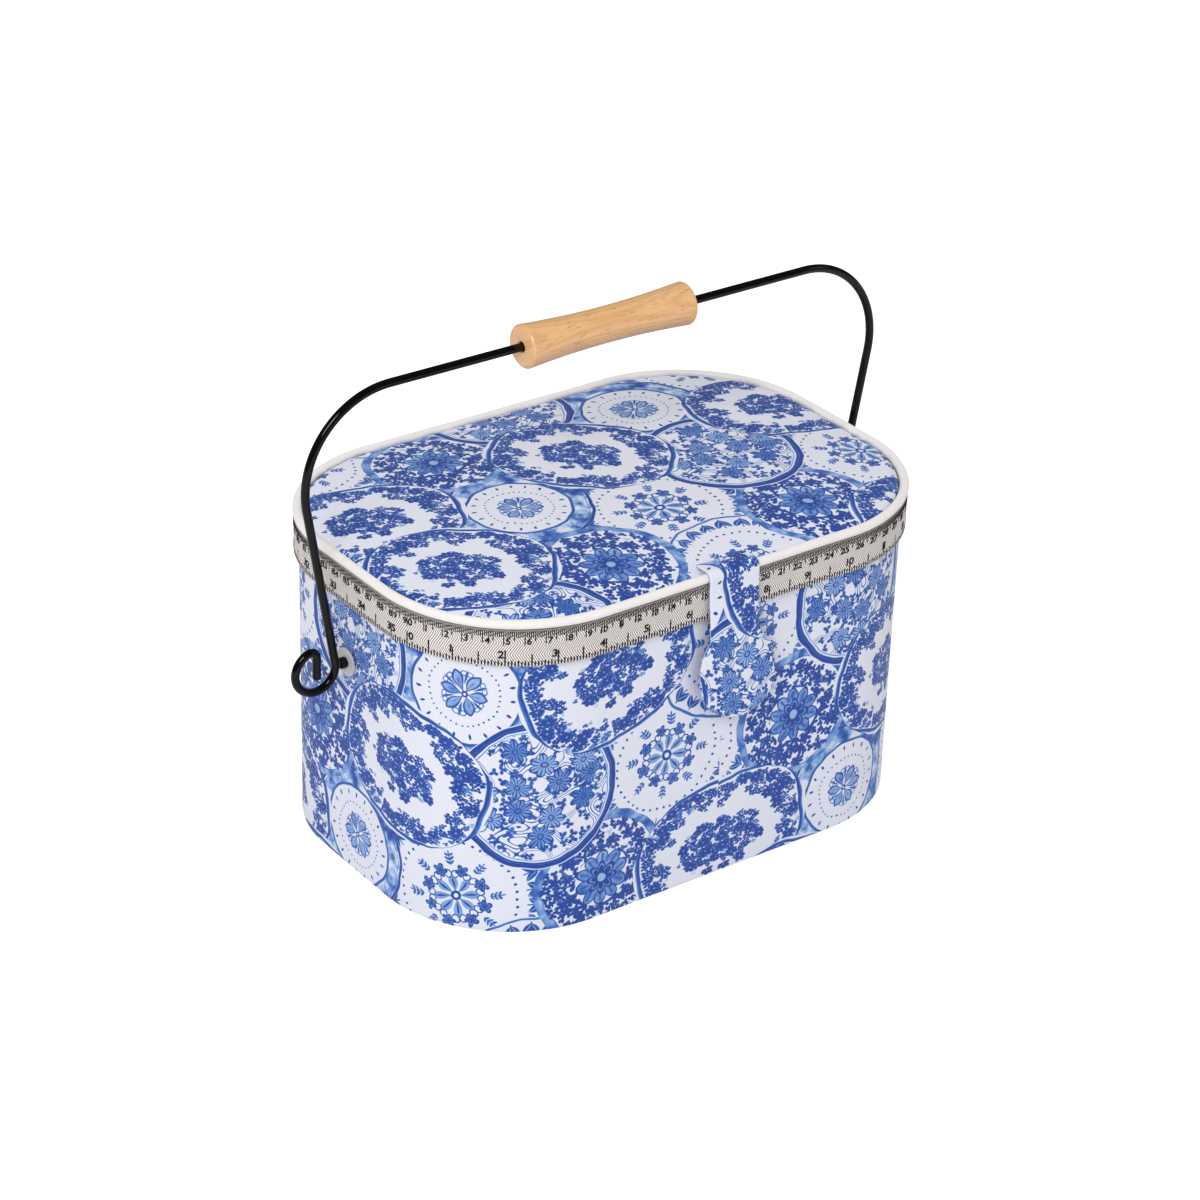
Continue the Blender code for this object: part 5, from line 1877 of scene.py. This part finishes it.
def seen_or_not(tree, light, seen, gloss):
    """The strength for light, the one that the camera and clear plastic see, and the one for gloss."""
    path = tree.nodes.new("ShaderNodeLightPath")
    straight, glossy, through = (Field(tree, path.outputs[name]) for name in (
        "Is Camera Ray", "Is Glossy Ray", "Is Transmission Ray"))
    lit = blended(tree, "FLOAT", glossy, light, gloss)
    return blended(tree, "FLOAT", straight.math("MAXIMUM", through), lit, seen)


class BasketSettings(bpy.types.PropertyGroup):
    """All that a user would change on the basket."""
    prints: PointerProperty(name="Print", description="The printed cotton", type=PrintSettings)
    tape: PointerProperty(name="Tape", description="The measuring tape", type=TapeSettings)
    trim: PointerProperty(name="Trim", description="Piping, linings and ribbons", type=TrimSettings)
    bail: PointerProperty(name="Bail", description="Wire, washers and grip", type=BailSettings)
    stage: PointerProperty(name="Stage", description="Camera, lamps and floor", type=StageSettings)


steps = (
    BASKET_OT_box_cloth, BASKET_OT_linings, BASKET_OT_lid_top, BASKET_OT_piping, BASKET_OT_tape,
    BASKET_OT_ticks, BASKET_OT_numbers, BASKET_OT_tab, BASKET_OT_hinge, BASKET_OT_ribbons,
    BASKET_OT_pincushion, BASKET_OT_pocket, BASKET_OT_bail, BASKET_OT_grip, BASKET_OT_pivots,
    BASKET_OT_frame_parts, BASKET_OT_stage,
)


class BASKET_PT_steps(bpy.types.Panel):
    """Lists the steps of the making and what can be set."""
    bl_idname = "BASKET_PT_steps"
    bl_label = "Sewing Basket"
    bl_space_type = "VIEW_3D"
    bl_region_type = "UI"
    bl_category = "Sewing Basket"

    def draw(self, context):
        for step in steps:
            self.layout.operator(step.bl_idname)
        for group in ("prints", "tape", "trim", "bail", "stage"):
            box = self.layout.box()
            settings = getattr(context.scene.basket, group)
            for name in settings.bl_rna.properties.keys():
                if name not in ("rna_type", "name"):
                    box.prop(settings, name)


classes = (PrintSettings, TapeSettings, TrimSettings, BailSettings, StageSettings, BasketSettings, *steps,
           BASKET_PT_steps)


def register():
    for item in classes:
        bpy.utils.register_class(item)
    bpy.types.Scene.basket = PointerProperty(name="Basket", description="Settings of the sewing basket",
                                             type=BasketSettings)


def unregister():
    del bpy.types.Scene.basket
    for item in reversed(classes):
        bpy.utils.unregister_class(item)


def main():
    """Makes every piece in order."""
    register()
    for step in steps:
        group, name = step.bl_idname.split(".")
        getattr(getattr(bpy.ops, group), name)()


if __name__ == "__main__":
    main()
